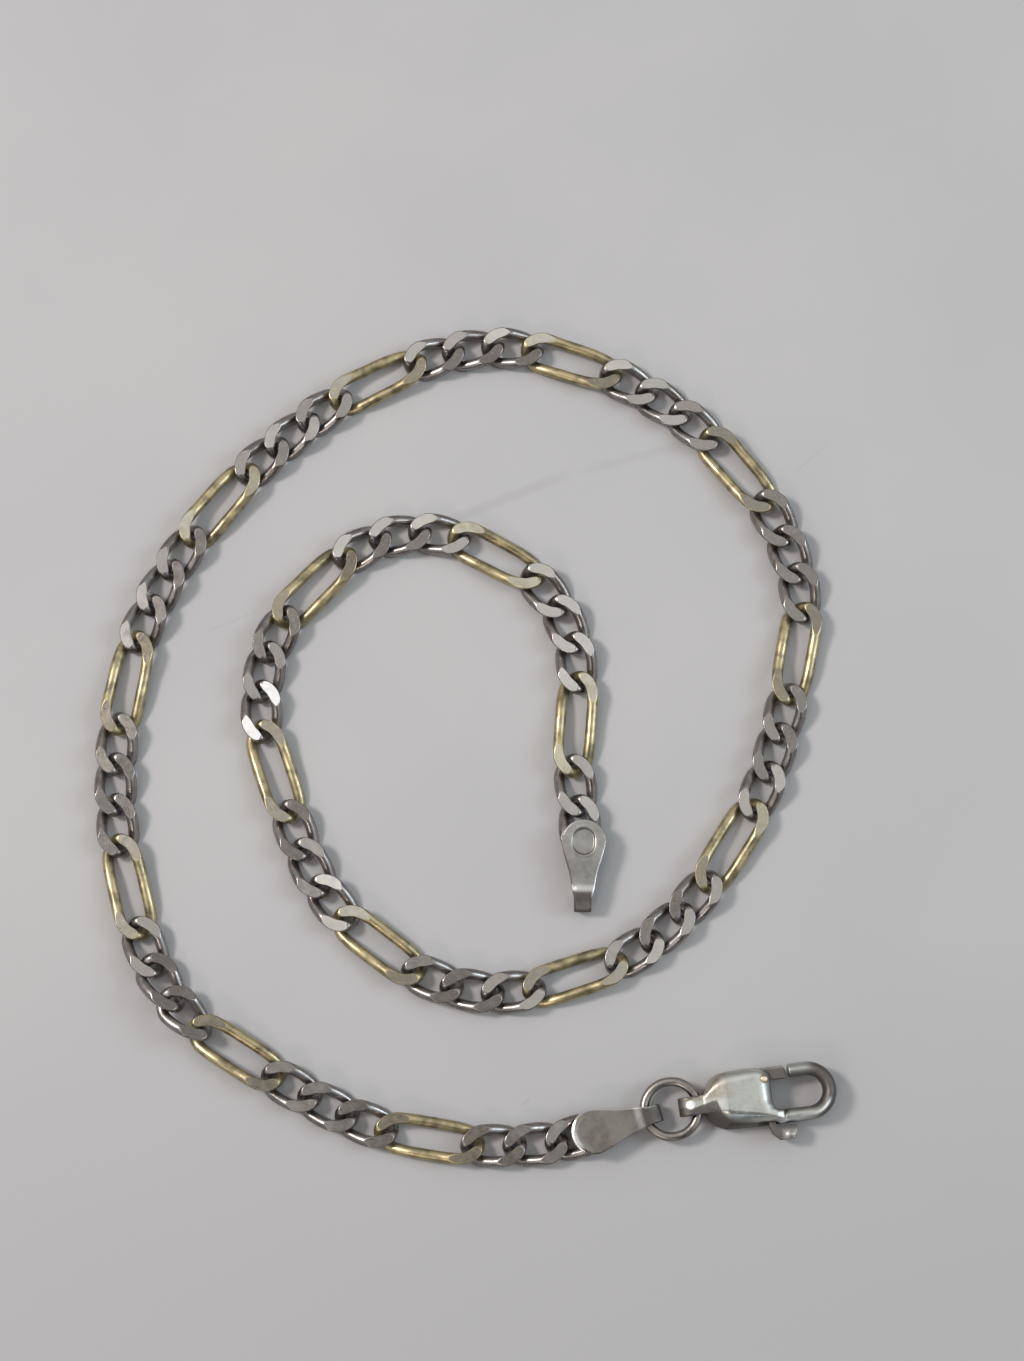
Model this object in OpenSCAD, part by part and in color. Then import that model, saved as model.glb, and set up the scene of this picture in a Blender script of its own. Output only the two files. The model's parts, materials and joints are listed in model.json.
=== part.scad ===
// Flat-ground figaro link bracelet, laid open in a loose spiral on a table.
// Every fourth link is long; the links between are short. Both ends carry a soldered tag;
// the outer tag holds a jump ring and a lobster clasp whose lever turns on a rivet.
// All sizes are millimetres. Z is up, and the links rest with their ground flats on z = 0.

/* [Chain] */
// Distance along the chain taken by one short link
short_pitch = 2.26; // [2.2:0.01:2.4]
// Distance along the chain taken by one long link
long_pitch = 4.7; // [4.4:0.1:5]
// Outer width of every link
chain_width = 2.3; // [2.28:0.01:2.4]
// Thickness of the chain between its ground flats
chain_thickness = 0.88; // [0.86:0.01:0.96]
// Diameter of the link wire
wire_diameter = 0.58; // [0.5:0.01:0.59]
// Play between the wires of two neighbouring links, along the chain
link_play = 0.16; // [0.14:0.01:0.2]
// Half twist of a link, from its middle to one end, degrees
link_twist = 48; // [46:1:50]

/* [End tags] */
// Width of a tag across its round end
tag_width = 2.4; // [2.2:0.1:2.8]
// Length of a tag from its round end to its folded eye
tag_length = 5; // [4.8:0.1:5.4]
// Width of the folded strip at the narrow end of a tag
strip_width = 0.94; // [0.8:0.02:1]
// Thickness of the tag plate
plate_thickness = 0.45; // [0.35:0.05:0.5]
// Thickness of the folded strip round the eye
eye_wall = 0.26; // [0.2:0.02:0.28]
// Width of the bare oval pressed into the inner tag
oval_width = 1.2; // [0.8:0.1:1.4]
// Length of the oval
oval_length = 1.45; // [1.4:0.05:1.8]
// Depth of the oval
oval_depth = 0.12; // [0.05:0.01:0.2]
// How far the inner tag's plate is soldered out of line with its link, degrees
plate_turn = 3; // [0:0.5:4]
// How far the jump ring has slid back from the end of the outer tag's eye
ring_slack = 0.2; // [0:0.05:0.3]

/* [Jump ring] */
// Outer diameter of the jump ring
ring_diameter = 3.42; // [3.3:0.02:3.8]
// Diameter of the jump ring wire
ring_wire = 0.5; // [0.44:0.02:0.52]

/* [Clasp] */
// Length of the clasp from its eye to the front of its hook
clasp_length = 7.5; // [7.3:0.1:8]
// Width of the clasp across its body and hook
clasp_width = 3.1; // [3:0.05:3.3]
// Thickness of the clasp body
clasp_thickness = 1.8; // [1.7:0.05:2]
// Thickness of the hook
hook_thickness = 1.1; // [0.9:0.05:1.3]
// Width of the hook's metal, seen from above
hook_width = 0.75; // [0.65:0.05:0.8]
// Diameter of the clasp's eye, which holds the jump ring
eye_diameter = 0.86; // [0.8:0.02:0.94]
// How far the clasp's eye is drawn out
neck_draw = 0.4; // [0.2:0.05:0.5]
// Thickness of the lever
lever_thickness = 0.6; // [0.5:0.05:0.62]
// Diameter of the rivet that the lever turns on
rivet_diameter = 0.4; // [0.36:0.02:0.44]
// How far the thumb tab stands out past the clasp's side
tab_width = 0.85; // [0.6:0.05:0.9]
// Length of the thumb tab along the clasp, measured from the rivet
tab_length = 1.42; // [1.2:0.02:1.5]
// Lever shown opened by this many degrees
lever_open = 0; // [0:1:40]

/* [Hidden] */
$fn = 48;

// Number of long links, short links between two of them, and sides of the link wire
long_count = 16;
between = 3;
wire_sides = 6;
// Points round one rounded end of a link's centre line
end_points = 7;
// Clearance between pieces that hang in each other or turn past each other
gap = 0.12;

// Where the chain was laid: hand-chosen points on its line, from the inner end to the outer
route = [[6.5, -4], [6, 0], [6.5, 4], [5, 8], [1, 11], [-4, 11.5], [-8, 9], [-10.5, 5.5],
         [-11, 0.5], [-9.5, -4], [-7.5, -8.5], [-4, -12], [1, -14], [5.5, -13.5],
         [10, -11.5], [13.5, -8], [16.5, -3], [18, 2], [19, 7], [17.5, 12.5], [13.5, 17.5],
         [8, 21], [2, 22.5], [-4, 21], [-10, 17], [-15, 11.5], [-18, 5.5], [-19, -1.5],
         [-18, -9], [-15.5, -14.5], [-10, -18.5], [-3.5, -21.5], [5, -22], [8, -21.5]];
// Middle of the laid bracelet among those points, which comes to lie on the origin
route_middle = [0.05, 0.15];
// Distance from the first route point to the first joint between links
chain_start = 0.2;
// Directions in which the two end tags and the clasp point, degrees
inner_heading = -88;
outer_heading = 16;
clasp_heading = 7.7;

// Where the chain has slipped together and lies crooked: link number, roll about the chain
// in degrees, share of the usual pitch, and how high the joint after the link is lifted
crooked = [[54, 0, 1, 0.06], [55, -7, 1, 0.18], [56, -14, 0.95, 0.36],
           [57, -12, 0.95, 0.22], [58, -1, 1, 0.04]];

link_total = long_count * (between + 1) + 2;
wire_r = wire_diameter / 2;
half_width = chain_width / 2 - wire_r;
half_thick = chain_thickness / 2;
// How far two neighbouring links reach past their joint, together
overlap = 2 * wire_diameter + link_play;
short_half = (short_pitch + overlap) / 2 - wire_r;
long_half = (long_pitch + overlap) / 2 - wire_r;
// The rounded end of a link is a little longer than a half circle
end_reach = 1.05 * half_width;

// The plate lies on the ground flat of its link, sunk in by the depth of the solder
solder = 0.03;
plate_low = chain_thickness - solder;
plate_top = plate_low + plate_thickness;
eye_outer = plate_top / 2;
eye_inner = eye_outer - eye_wall;
// Lengths along a tag, from the joint where the chain hooks into it
tag_start = overlap / 2 + 1.5 * gap;
eye_x = tag_start + tag_length - eye_outer;
// How far the eye is drawn out, and how far the strip is folded back under the plate
eye_draw = 0.4;
fold_back = 0.95;

ring_r = (ring_diameter - ring_wire) / 2;
ring_low_z = eye_outer;
// How far a ring's wire bends away across a piece of this half width, seen from above
function sag(half) = ring_r - sqrt(ring_r * ring_r - half * half);
function wire_reach(half) = ring_wire / 2 * ring_r / sqrt(ring_r * ring_r - half * half);
// Place of the wire's middle in the tag's eye, clear of its outer wall by the gap and the slack
ring_seat = eye_inner - gap - ring_slack - sag(strip_width / 2) - wire_reach(strip_width / 2);

clasp_side_y = clasp_width / 2;
neck_half = 0.5;
eye_rim = 0.2;
neck_r = eye_diameter / 2 + eye_rim;
clasp_middle_z = clasp_thickness / 2;
clasp_eye_z = clasp_middle_z + 0.05;
// The ring's wire lies in the middle of the clasp's eye, shared between its two sides
clasp_seat = sag(neck_half) / 2;

hook_centre = [clasp_length - clasp_side_y, 0];
hook_inner = clasp_side_y - hook_width;
// How far the hook's tip reaches back past the centre of the hook
tip_back = 0.9;
tip_x = hook_centre[0] - tip_back;
tip_ease = 0.2;

hub_wall = 0.25;
hub_r = rivet_diameter / 2 + hub_wall;
pivot = [0.487 * clasp_length, 0.58 * clasp_side_y];
// The lever opens by this angle, then meets the end of its slot
swing = 40;
gate_width = 0.7;
gate_reach = tip_x - pivot[0] - gap;
gate_side = clasp_side_y - pivot[1] - 0.05;
gate_back = 0.15;
stem_half = 0.23;
stem_end = pivot[1] + clasp_side_y + gap;
tab_end = pivot[1] + clasp_side_y + tab_width;
tab_half = (stem_end + tab_end) / 2;
lever_play = 0.1;
slot_half = lever_thickness / 2 + lever_play;

// Outline of the clasp's body from above: shares of its length and of half its width
body_shares = [[0.04, -0.32], [0.065, -0.55], [0.12, -0.81], [0.19, -0.94], [0.35, -0.98],
               [0.6, -1], [0.6, -0.52], [0.555, -0.5], [0.535, -0.4], [0.53, -0.13],
               [0.53, 0.13], [0.535, 0.47], [0.53, 0.7], [0.51, 0.88], [0.465, 0.98],
               [0.42, 1.02], [0.29, 1.03], [0.17, 0.98], [0.115, 0.84], [0.065, 0.52],
               [0.04, 0.32]];
// Where the hook's lower arm leaves the body, as a share of the clasp's length
arm_root = 0.58;

// Extends the route by one point past each end, for the slopes there
function pad(p) = concat([2 * p[0] - p[1]], p, [2 * p[len(p) - 1] - p[len(p) - 2]]);
padded = pad(route);
span = [for (i = [0:len(padded) - 2]) norm(padded[i + 1] - padded[i])];
slope = [for (i = [1:len(route)])
    (span[i - 1] * (padded[i + 1] - padded[i]) / span[i]
     + span[i] * (padded[i] - padded[i - 1]) / span[i - 1]) / (span[i - 1] + span[i])];

// Smooth curve between route points i and i + 1, t from 0 to 1
function curve(i, t) = (2 * t^3 - 3 * t^2 + 1) * route[i] + (t^3 - 2 * t^2 + t) * span[i + 1] * slope[i]
    + (3 * t^2 - 2 * t^3) * route[i + 1] + (t^3 - t^2) * span[i + 1] * slope[i + 1];
curve_steps = 16;
smooth = [for (i = [0:len(route) - 2], k = [0:curve_steps - 1]) curve(i, k / curve_steps)];
// The line runs straight on past both ends
lead = 6;
last = len(route) - 1;
track = concat([route[0] - lead * tidy(slope[0])], smooth, [route[last]],
               [route[last] + 2 * lead * tidy(slope[last])]);
run = [for (i = 0, s = -lead; i < len(track);
            s = s + (i + 1 < len(track) ? norm(track[i + 1] - track[i]) : 0), i = i + 1) s];
run_x = [for (i = [0:len(track) - 1]) [run[i], track[i][0]]];
run_y = [for (i = [0:len(track) - 1]) [run[i], track[i][1]]];
function along(s) = [lookup(s, run_x), lookup(s, run_y)] - route_middle;

// Link 0 is soldered to the inner tag and the last link to the outer tag
function is_long(i) = i % (between + 1) == 2 && i < link_total - 1;
function crook(i) = let (hit = [for (c = crooked) if (c[0] == i) c])
    len(hit) > 0 ? hit[0] : [i, 0, 1, 0];
function pitch(i) = (is_long(i) ? long_pitch : short_pitch) * crook(i)[2];
// Joint k lies between links k and k + 1
joint_run = [for (k = 0, s = chain_start; k < link_total - 1; k = k + 1, s = s + pitch(k)) s];
joint = [for (k = [0:link_total - 2]) let (p = along(joint_run[k]))
    [p[0], p[1], half_thick + crook(k)[3]]];

function tidy(v) = v / norm(v);
function twist_at(x, half, power) = -link_twist * sign(x) * pow(abs(x) / half, power);
// Centre line of a link: two rounded ends and straight sides, twisted about its length
function flat_line(half, extra) = concat(
    [for (k = [0:end_points - 1]) let (a = -90 + 180 * k / (end_points - 1))
        [half - end_reach + end_reach * cos(a), half_width * sin(a)]],
    [for (k = [1:1:extra]) [(half - end_reach) * (1 - 2 * k / (extra + 1)), half_width]],
    [for (k = [0:end_points - 1]) let (a = 90 + 180 * k / (end_points - 1))
        [-half + end_reach + end_reach * cos(a), half_width * sin(a)]],
    [for (k = [1:1:extra]) [-(half - end_reach) * (1 - 2 * k / (extra + 1)), -half_width]]);
function link_line(half, extra, power) = [for (p = flat_line(half, extra))
    let (a = twist_at(p[0], half, power)) [p[0], p[1] * cos(a), p[1] * sin(a)]];

// Corner k of the six-sided wire about centre c: n points across, b points up. Where the
// grinding cuts the wire off, the corner slides down its own edge to the ground flat.
function corner(c, n, b, k) = let (
        a = 60 * k,
        is_side = abs(sin(a)) < 0.1,
        room = (half_thick - (sin(a) > 0 ? c[2] : -c[2])) / b[2],
        full = wire_r * abs(sin(a)),
        up = is_side ? 0 : min(full, max(room, 0.05 * wire_r)),
        out = is_side ? wire_r : wire_r * (1 - 0.5 * up / full))
    c + n * out * sign(cos(a)) + b * up * sign(sin(a));
function link_points(line) = let (m = len(line)) [for (i = [0:m - 1])
    let (ahead = tidy(line[(i + 1) % m] - line[i]), behind = tidy(line[i] - line[(i + m - 1) % m]),
         t = tidy(ahead + behind), n = tidy(cross(t, [0, 0, 1])), b = cross(n, t))
    for (k = [0:wire_sides - 1]) corner(line[i], n, b, k)];
function link_faces(m, first) = [for (i = [0:m - 1], k = [0:wire_sides - 1])
    let (a = first + i * wire_sides + k, b = first + i * wire_sides + (k + 1) % wire_sides,
         j = (i + 1) % m,
         c = first + j * wire_sides + (k + 1) % wire_sides, d = first + j * wire_sides + k)
    for (f = [[a, b, c], [a, c, d]]) f];

short_line = link_line(short_half, 0, 1);
long_line = link_line(long_half, 1, 2);
short_points = link_points(short_line);
long_points = link_points(long_line);

// Moves a point of a link to its place: roll about the chain, then tilt, turn and shift
function put(p, roll, tilt, turn, shift) = let (
        y = p[1] * cos(roll) - p[2] * sin(roll), z = p[1] * sin(roll) + p[2] * cos(roll),
        x = p[0] * cos(tilt) - z * sin(tilt))
    [x * cos(turn) - y * sin(turn), x * sin(turn) + y * cos(turn),
     p[0] * sin(tilt) + z * cos(tilt)] + shift;
// Link i spans joints i - 1 and i, and never sinks into the table
function placed(i) = let (a = joint[i - 1], b = joint[i], d = b - a,
        turn = atan2(d[1], d[0]), tilt = atan2(d[2], norm([d[0], d[1]])),
        moved = [for (p = is_long(i) ? long_points : short_points)
            put(p, crook(i)[1], tilt, turn, (a + b) / 2)],
        low = min([for (p = moved) p[2]]))
    low < 0 ? [for (p = moved) p - [0, 0, low]] : moved;

// Many loose links in one node
module links(numbers, sections) {
    all_points = [for (i = numbers) each placed(i)];
    all_faces = [for (k = [0:len(numbers) - 1])
        each link_faces(sections, k * sections * wire_sides)];
    polyhedron(all_points, all_faces, convexity = 10);
}

module short_links() color("silver")
    links([for (i = [1:link_total - 2]) if (!is_long(i)) i], len(short_line));

module long_links() color("khaki")
    links([for (i = [1:link_total - 2]) if (is_long(i)) i], len(long_line));

// The short link soldered under the round end of a tag
module soldered_link() polyhedron(
    [for (p = short_points) put(p, 0, 0, 0, [short_pitch / 2, 0, half_thick])],
    link_faces(len(short_line), 0), convexity = 4);

// Pear shape of a tag from above: a round end and straight sides down to the strip
module tag_plan() {
    round_x = tag_start + tag_width / 2;
    taper = asin((tag_width - strip_width) / 2 / (eye_x - round_x));
    touch = [round_x + tag_width / 2 * sin(taper), tag_width / 2 * cos(taper)];
    translate([round_x, 0]) circle(d = tag_width);
    polygon([[touch[0], -touch[1]], [eye_x, -strip_width / 2], [eye_x, strip_width / 2],
             touch, [round_x, 0]]);
    translate([eye_x - eye_outer, -strip_width / 2]) square([2 * eye_outer, strip_width]);
}

// Plate, folded eye and the strip's return, seen from the side
module tag_side() {
    translate([0, plate_low]) square([eye_x, plate_thickness]);
    translate([eye_x - fold_back, 0]) square([fold_back, plate_top]);
    translate([eye_x, eye_outer]) circle(eye_outer);
}

// A drawn-out round, seen from the side: its outer end is centred on x
module drawn_round(x, z, r, draw) {
    translate([x, z]) circle(r);
    translate([x - draw, z]) circle(r);
    translate([x - draw, z - r]) square([draw, 2 * r]);
}

module tag_body() difference() {
    intersection() {
        linear_extrude(plate_top) tag_plan();
        translate([0, tag_width, 0]) rotate([90, 0, 0]) linear_extrude(2 * tag_width) tag_side();
    }
    translate([0, tag_width, 0]) rotate([90, 0, 0])
        linear_extrude(2 * tag_width) drawn_round(eye_x, eye_outer, eye_inner, eye_draw);
}

// Bare oval pressed into the plate, centred on the round end
module oval_plan() translate([tag_start + tag_width / 2, 0]) {
    side = (oval_length - oval_width) / 2;
    for (x = [-side, side]) translate([x, 0]) circle(d = oval_width);
    square([2 * side, oval_width], center = true);
}

// The inner plate is turned a little about its eye
module inner_end_tag() color("silver")
    translate([joint[0][0], joint[0][1], 0]) rotate(inner_heading) {
        translate([eye_x, 0, 0]) rotate(-plate_turn) translate([-eye_x, 0, 0]) difference() {
            tag_body();
            translate([0, 0, plate_top - oval_depth]) linear_extrude(1) oval_plan();
        }
        soldered_link();
    }

module outer_end_tag() color("silver")
    translate([joint[link_total - 2][0], joint[link_total - 2][1], 0]) rotate(outer_heading) {
        tag_body();
        soldered_link();
    }

// Everything past the outer tag hangs from the middle of the jump ring
module at_ring() translate([joint[link_total - 2][0], joint[link_total - 2][1], 0])
    rotate(outer_heading) translate([eye_x + ring_seat + ring_r, 0, 0])
        rotate(clasp_heading - outer_heading) children();

module jump_ring() color("silver")
    at_ring() translate([0, 0, (ring_low_z + clasp_eye_z) / 2])
        rotate([0, -asin((clasp_eye_z - ring_low_z) / 2 / ring_r), 0])
            rotate_extrude() translate([ring_r, 0]) circle(d = ring_wire);

module at_clasp() at_ring() translate([ring_r - clasp_seat, 0, 0]) children();

// Body, neck and hook of the clasp from above
module clasp_plan() {
    translate([-neck_r - neck_draw, -neck_half])
        square([neck_r + neck_draw + 0.1 * clasp_length, 2 * neck_half]);
    polygon([for (p = body_shares) [p[0] * clasp_length, p[1] * clasp_side_y]]);
    translate([arm_root * clasp_length, -clasp_side_y])
        square([hook_centre[0] - arm_root * clasp_length, hook_width]);
    translate([tip_x, hook_inner]) square([tip_back, hook_width]);
    difference() {
        translate(hook_centre) circle(clasp_side_y);
        translate(hook_centre) circle(hook_inner);
        translate([hook_centre[0] - 2 * clasp_side_y, -2 * clasp_side_y])
            square([2 * clasp_side_y, 4 * clasp_side_y]);
    }
}

// Side view: rounded eye at the neck, full body, thinner hook that thins again at the front
module clasp_side() {
    hook_low = clasp_middle_z - hook_thickness / 2;
    hook_high = clasp_middle_z + hook_thickness / 2;
    front = hook_thickness / 4;
    drawn_round(0, clasp_eye_z, neck_r, neck_draw);
    polygon([[0, clasp_eye_z - neck_r], [0.065 * clasp_length, 0.12 * clasp_thickness],
             [0.12 * clasp_length, 0], [0.6 * clasp_length, 0], [0.7 * clasp_length, hook_low],
             [0.96 * clasp_length, hook_low], [1.01 * clasp_length, hook_low + front],
             [1.01 * clasp_length, hook_high - front], [0.96 * clasp_length, hook_high],
             [0.7 * clasp_length, hook_high], [0.6 * clasp_length, 0.97 * clasp_thickness],
             [0.52 * clasp_length, clasp_thickness], [0.2 * clasp_length, clasp_thickness],
             [0, clasp_eye_z + neck_r]]);
}

// Section across the clasp: domed top, sloping shoulders, edges eased next to the table
module clasp_section() {
    dome_r = 1.45 * clasp_width;
    ease = 0.2;
    shoulder = 0.5;
    half = [[clasp_side_y - ease, 0], [clasp_side_y + 0.5 * ease, 1.5 * ease],
            [clasp_side_y + 0.5 * ease, clasp_thickness - 1.5 * shoulder],
            [clasp_side_y - shoulder, clasp_thickness]];
    intersection() {
        translate([0, clasp_thickness - dome_r]) circle(dome_r, $fn = 96);
        polygon(concat(half, [for (k = [3:-1:0]) [-half[k][0], half[k][1]]]));
    }
}

module clasp_block() intersection() {
    linear_extrude(clasp_thickness) clasp_plan();
    translate([0, clasp_width, 0]) rotate([90, 0, 0]) linear_extrude(2 * clasp_width) clasp_side();
    translate([-clasp_width, 0, 0]) rotate([90, 0, 90])
        linear_extrude(clasp_length + 2 * clasp_width) clasp_section();
}

// Turns a point about the rivet, clockwise from above
function opened(p, a) = [p[0] * cos(a) + p[1] * sin(a), p[1] * cos(a) - p[0] * sin(a)];

// Slot from above, about the rivet: room for the hub, the gate and the swing of the stem.
// It stops short of the hook's lower arm and runs out past both sides of the body.
module slot_plan() {
    far = stem_end + clasp_side_y;
    back = -stem_half - gap;
    front = stem_half + 2.5 * gap;
    mouth = gate_reach - gap;
    arm = -pivot[1] - 0.45 * hook_inner;
    circle(hub_r + gap);
    polygon([opened([back, 0], swing), opened([back, -far], swing), [front, -far], [front, arm],
             [mouth, -pivot[1]], [mouth, clasp_side_y], [-gate_back - gap, clasp_side_y],
             [-gate_back - gap, 0]]);
}

module clasp_body() color("silver") at_clasp() {
    difference() {
        clasp_block();
        // eye for the jump ring
        translate([0, clasp_side_y, 0]) rotate([90, 0, 0])
            linear_extrude(clasp_width) drawn_round(0, clasp_eye_z, eye_diameter / 2, neck_draw);
        // slot in which the lever swings
        translate([pivot[0], pivot[1], clasp_middle_z - slot_half])
            linear_extrude(2 * slot_half) slot_plan();
        // eased inner corner of the hook's tip
        translate([tip_x, hook_inner]) linear_extrude(clasp_thickness)
            polygon([[-tip_ease, -tip_ease], [tip_ease, -tip_ease], [-tip_ease, tip_ease]]);
    }
    translate([pivot[0], pivot[1], 0.5 * (clasp_middle_z - slot_half)])
        cylinder(d = rivet_diameter, h = clasp_middle_z + slot_half);
}

// Gate, hub, stem and thumb tab of the lever from above, about the rivet
module lever_plan() difference() {
    union() {
        circle(hub_r);
        intersection() {
            circle(gate_reach);
            translate([-gate_back, gate_side - gate_width])
                square([gate_back + gate_reach, gate_width]);
        }
        polygon([[-stem_half, 0], [0, -stem_end], [0.07 * tab_length, -tab_half],
                 [0.35 * tab_length, -tab_end], [0.85 * tab_length, -tab_end],
                 [tab_length, -tab_half], [tab_length, -stem_end], [stem_half + gap, -stem_end],
                 [stem_half, 0]]);
    }
    circle(d = rivet_diameter + 2 * lever_play);
}

module clasp_lever() color("gainsboro") at_clasp()
    translate([pivot[0], pivot[1], clasp_middle_z - lever_thickness / 2])
        rotate(-lever_open) linear_extrude(lever_thickness) lever_plan();

short_links();
long_links();
inner_end_tag();
outer_end_tag();
jump_ring();
clasp_body();
clasp_lever();
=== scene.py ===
"""Looks of a flat-ground figaro link bracelet that lies open in a loose spiral on a table.

Shapes are worked out in millimetres and become metres when a mesh is made. The line of the
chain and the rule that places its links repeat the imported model's own, so every detailed link
lies where its plain solid lies.
"""
import json
import random
from math import acos, asin, atan2, cos, hypot, pi, radians, sin, sqrt

import bmesh
import bpy
import numpy as np
from mathutils import Matrix, Vector


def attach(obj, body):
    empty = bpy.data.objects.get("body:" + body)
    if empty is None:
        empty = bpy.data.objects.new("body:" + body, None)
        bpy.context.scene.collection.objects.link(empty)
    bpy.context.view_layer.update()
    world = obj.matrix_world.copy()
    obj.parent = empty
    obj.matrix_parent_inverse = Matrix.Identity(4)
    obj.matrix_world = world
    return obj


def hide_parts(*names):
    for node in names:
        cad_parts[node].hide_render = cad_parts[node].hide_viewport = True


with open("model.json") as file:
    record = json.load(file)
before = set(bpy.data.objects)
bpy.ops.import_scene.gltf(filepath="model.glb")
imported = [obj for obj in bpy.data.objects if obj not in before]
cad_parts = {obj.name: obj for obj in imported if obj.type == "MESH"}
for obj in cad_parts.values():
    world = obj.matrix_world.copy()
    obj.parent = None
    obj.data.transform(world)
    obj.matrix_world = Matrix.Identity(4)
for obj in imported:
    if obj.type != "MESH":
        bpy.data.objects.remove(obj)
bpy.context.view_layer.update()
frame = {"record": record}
MM = 0.001

# chain, in millimetres
SHORT_PITCH, LONG_PITCH = 2.26, 4.7
CHAIN_WIDTH, CHAIN_THICKNESS = 2.3, 0.88
# wire's diameter, play between two links, and how far each end of a link is twisted, in degrees
WIRE, PLAY, TWIST = 0.58, 0.16, 48
# the drawn wire is a little fuller than the six-sided solid's
WIRE_R = 0.305
LONG_COUNT, BETWEEN = 16, 3
LINKS = LONG_COUNT * (BETWEEN + 1) + 2
HALF_WIDTH = (CHAIN_WIDTH - WIRE) / 2
HALF_THICK = CHAIN_THICKNESS / 2
OVERLAP = 2 * WIRE + PLAY
SHORT_HALF = (SHORT_PITCH + OVERLAP) / 2 - WIRE / 2
LONG_HALF = (LONG_PITCH + OVERLAP) / 2 - WIRE / 2
END_REACH = 1.05 * HALF_WIDTH

# line of the laid chain, in millimetres, from the inner end to the outer one
ROUTE = [(6.5, -4), (6, 0), (6.5, 4), (5, 8), (1, 11), (-4, 11.5), (-8, 9), (-10.5, 5.5),
         (-11, 0.5), (-9.5, -4), (-7.5, -8.5), (-4, -12), (1, -14), (5.5, -13.5),
         (10, -11.5), (13.5, -8), (16.5, -3), (18, 2), (19, 7), (17.5, 12.5), (13.5, 17.5),
         (8, 21), (2, 22.5), (-4, 21), (-10, 17), (-15, 11.5), (-18, 5.5), (-19, -1.5),
         (-18, -9), (-15.5, -14.5), (-10, -18.5), (-3.5, -21.5), (5, -22), (8, -21.5)]
ROUTE_MIDDLE = (0.05, 0.15)
# straight run before and after the route, steps of the curve between two of its points, and
# how far along it the first joint lies
LEAD_IN, LEAD_OUT, CURVE_STEPS, CHAIN_START = 6, 12, 16, 0.2
# link: roll in degrees, share of the usual pitch, lift of the joint after it
CROOKED = {54: (0, 1, 0.06), 55: (-7, 1, 0.18), 56: (-14, 0.95, 0.36), 57: (-12, 0.95, 0.22),
           58: (-1, 1, 0.04)}
UPRIGHT = (0, 1, 0)
# what the loose links lean beyond their plain solids, in degrees
MORE_ROLL = {56: -12, 57: -11}

# painted light and shade of the ground flats along the chain: link number and painted shade, where 0 is lit,
# 1 is in painted shade and below 0 the flat gets a painted glare
FLAT_LIGHT_AND_SHADE = [(0, 0.6), (2, 0.4), (3, 0.15), (6, 0.2), (8, 0.8), (12, 0.7), (13, -0.7), (14, 0.8),
            (15, 0.9), (17, 0.3), (20, 0.9), (23, 0.5), (27, 0.6), (31, 0.9), (34, 0.8), (36, 0.45),
            (39, 0.85), (43, 0.55), (46, 0.6), (49, 0.95), (51, 0.75), (54, 0.8), (55, 0.6),
            (56, 1.1), (57, 1.1), (58, 0.8), (62, 1.1), (65, 0.9)]
# how much more painted shade a link's first flat gets than its second: link number and difference
FLAT_SHADE_LEAN = [(6, 0), (9, 0.7), (11, 0.1), (16, -0.1), (18, -0.5), (20, 0), (25, 0.4), (28, -0.1),
        (36, 0), (39, 0.9), (41, 0.5), (43, 0), (48, 0.4), (50, 0)]

# end tags, in millimetres; along a tag, 0 is the joint between its soldered link and the next
PLATE_LOW, PLATE_TOP = 0.85, 1.3
TAG_LENGTH, TAG_WIDTH, STRIP_WIDTH, EYE_WALL = 5, 2.4, 0.94, 0.26
TAG_START = OVERLAP / 2 + 0.18
TAG_MIDDLE = TAG_START + TAG_WIDTH / 2
EYE_OUTER = PLATE_TOP / 2
EYE_X = TAG_START + TAG_LENGTH - EYE_OUTER
EYE_DRAW, FOLD_BACK, PLATE_TURN = 0.4, 0.95, 3
OVAL_WIDE, OVAL_LONG, OVAL_DEEP = 1.2, 1.45, 0.12
TAG_TAPER = asin((TAG_WIDTH - STRIP_WIDTH) / 2 / (EYE_X - TAG_MIDDLE))
INNER_HEADING, OUTER_HEADING, CLASP_HEADING = -88, 16, 7.7
# what the tags have beyond their plain solids: a dip along the plate, a waist, the outer tag's
# raised rim and the lip round the inner tag's oval, each with its middle, half width and size
DIP_X, DIP_HALF, DIP_DEEP = EYE_X - 1.1, 0.75, 0.07
WAIST_X, WAIST_HALF, WAIST_SHARE = TAG_MIDDLE + 1.75, 0.6, 0.07
RIM_R, RIM_HALF, RIM_HIGH = 1.02, 0.14, 0.05
LIP_OUT, LIP_HALF, LIP_HIGH = 0.09, 0.06, 0.012
# the strip starts to bend this far before the eye's middle, and falls away over this length
BEND_BEFORE, BEND_LENGTH = 0.5, 1.15

# jump ring and clasp, in millimetres; along the clasp, 0 is in its eye
GAP = 0.12
RING_OUTER, RING_WIRE, RING_SLACK = 3.42, 0.5, 0.2
RING_R = (RING_OUTER - RING_WIRE) / 2
CLASP_L, CLASP_HALF, CLASP_T = 7.5, 1.55, 1.8
CLASP_MID_Z = CLASP_T / 2
CLASP_EYE_Z, NECK_R, NECK_HALF, NECK_DRAW, EYE_R = 0.95, 0.63, 0.5, 0.4, 0.43
NECK_LOW, NECK_HIGH = 0.32, 1.58
# the hook's wire starts inside the body
HOOK_START, HOOK_X, HOOK_W, HOOK_T = 3.9, CLASP_L - CLASP_HALF, 0.75, 1.1
HOOK_LINE_R = CLASP_HALF - HOOK_W / 2
TIP_X = HOOK_X - 0.9
PIVOT_X, PIVOT_Y = 0.487 * CLASP_L, 0.58 * CLASP_HALF
SLOT_HALF, LEVER_HALF, HUB_R, RIVET_R = 0.4, 0.3, 0.45, 0.2
LEVER_OPEN, LEVER_PLAY = 40, 0.1
LEVER_REACH = TIP_X - PIVOT_X - GAP


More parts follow.
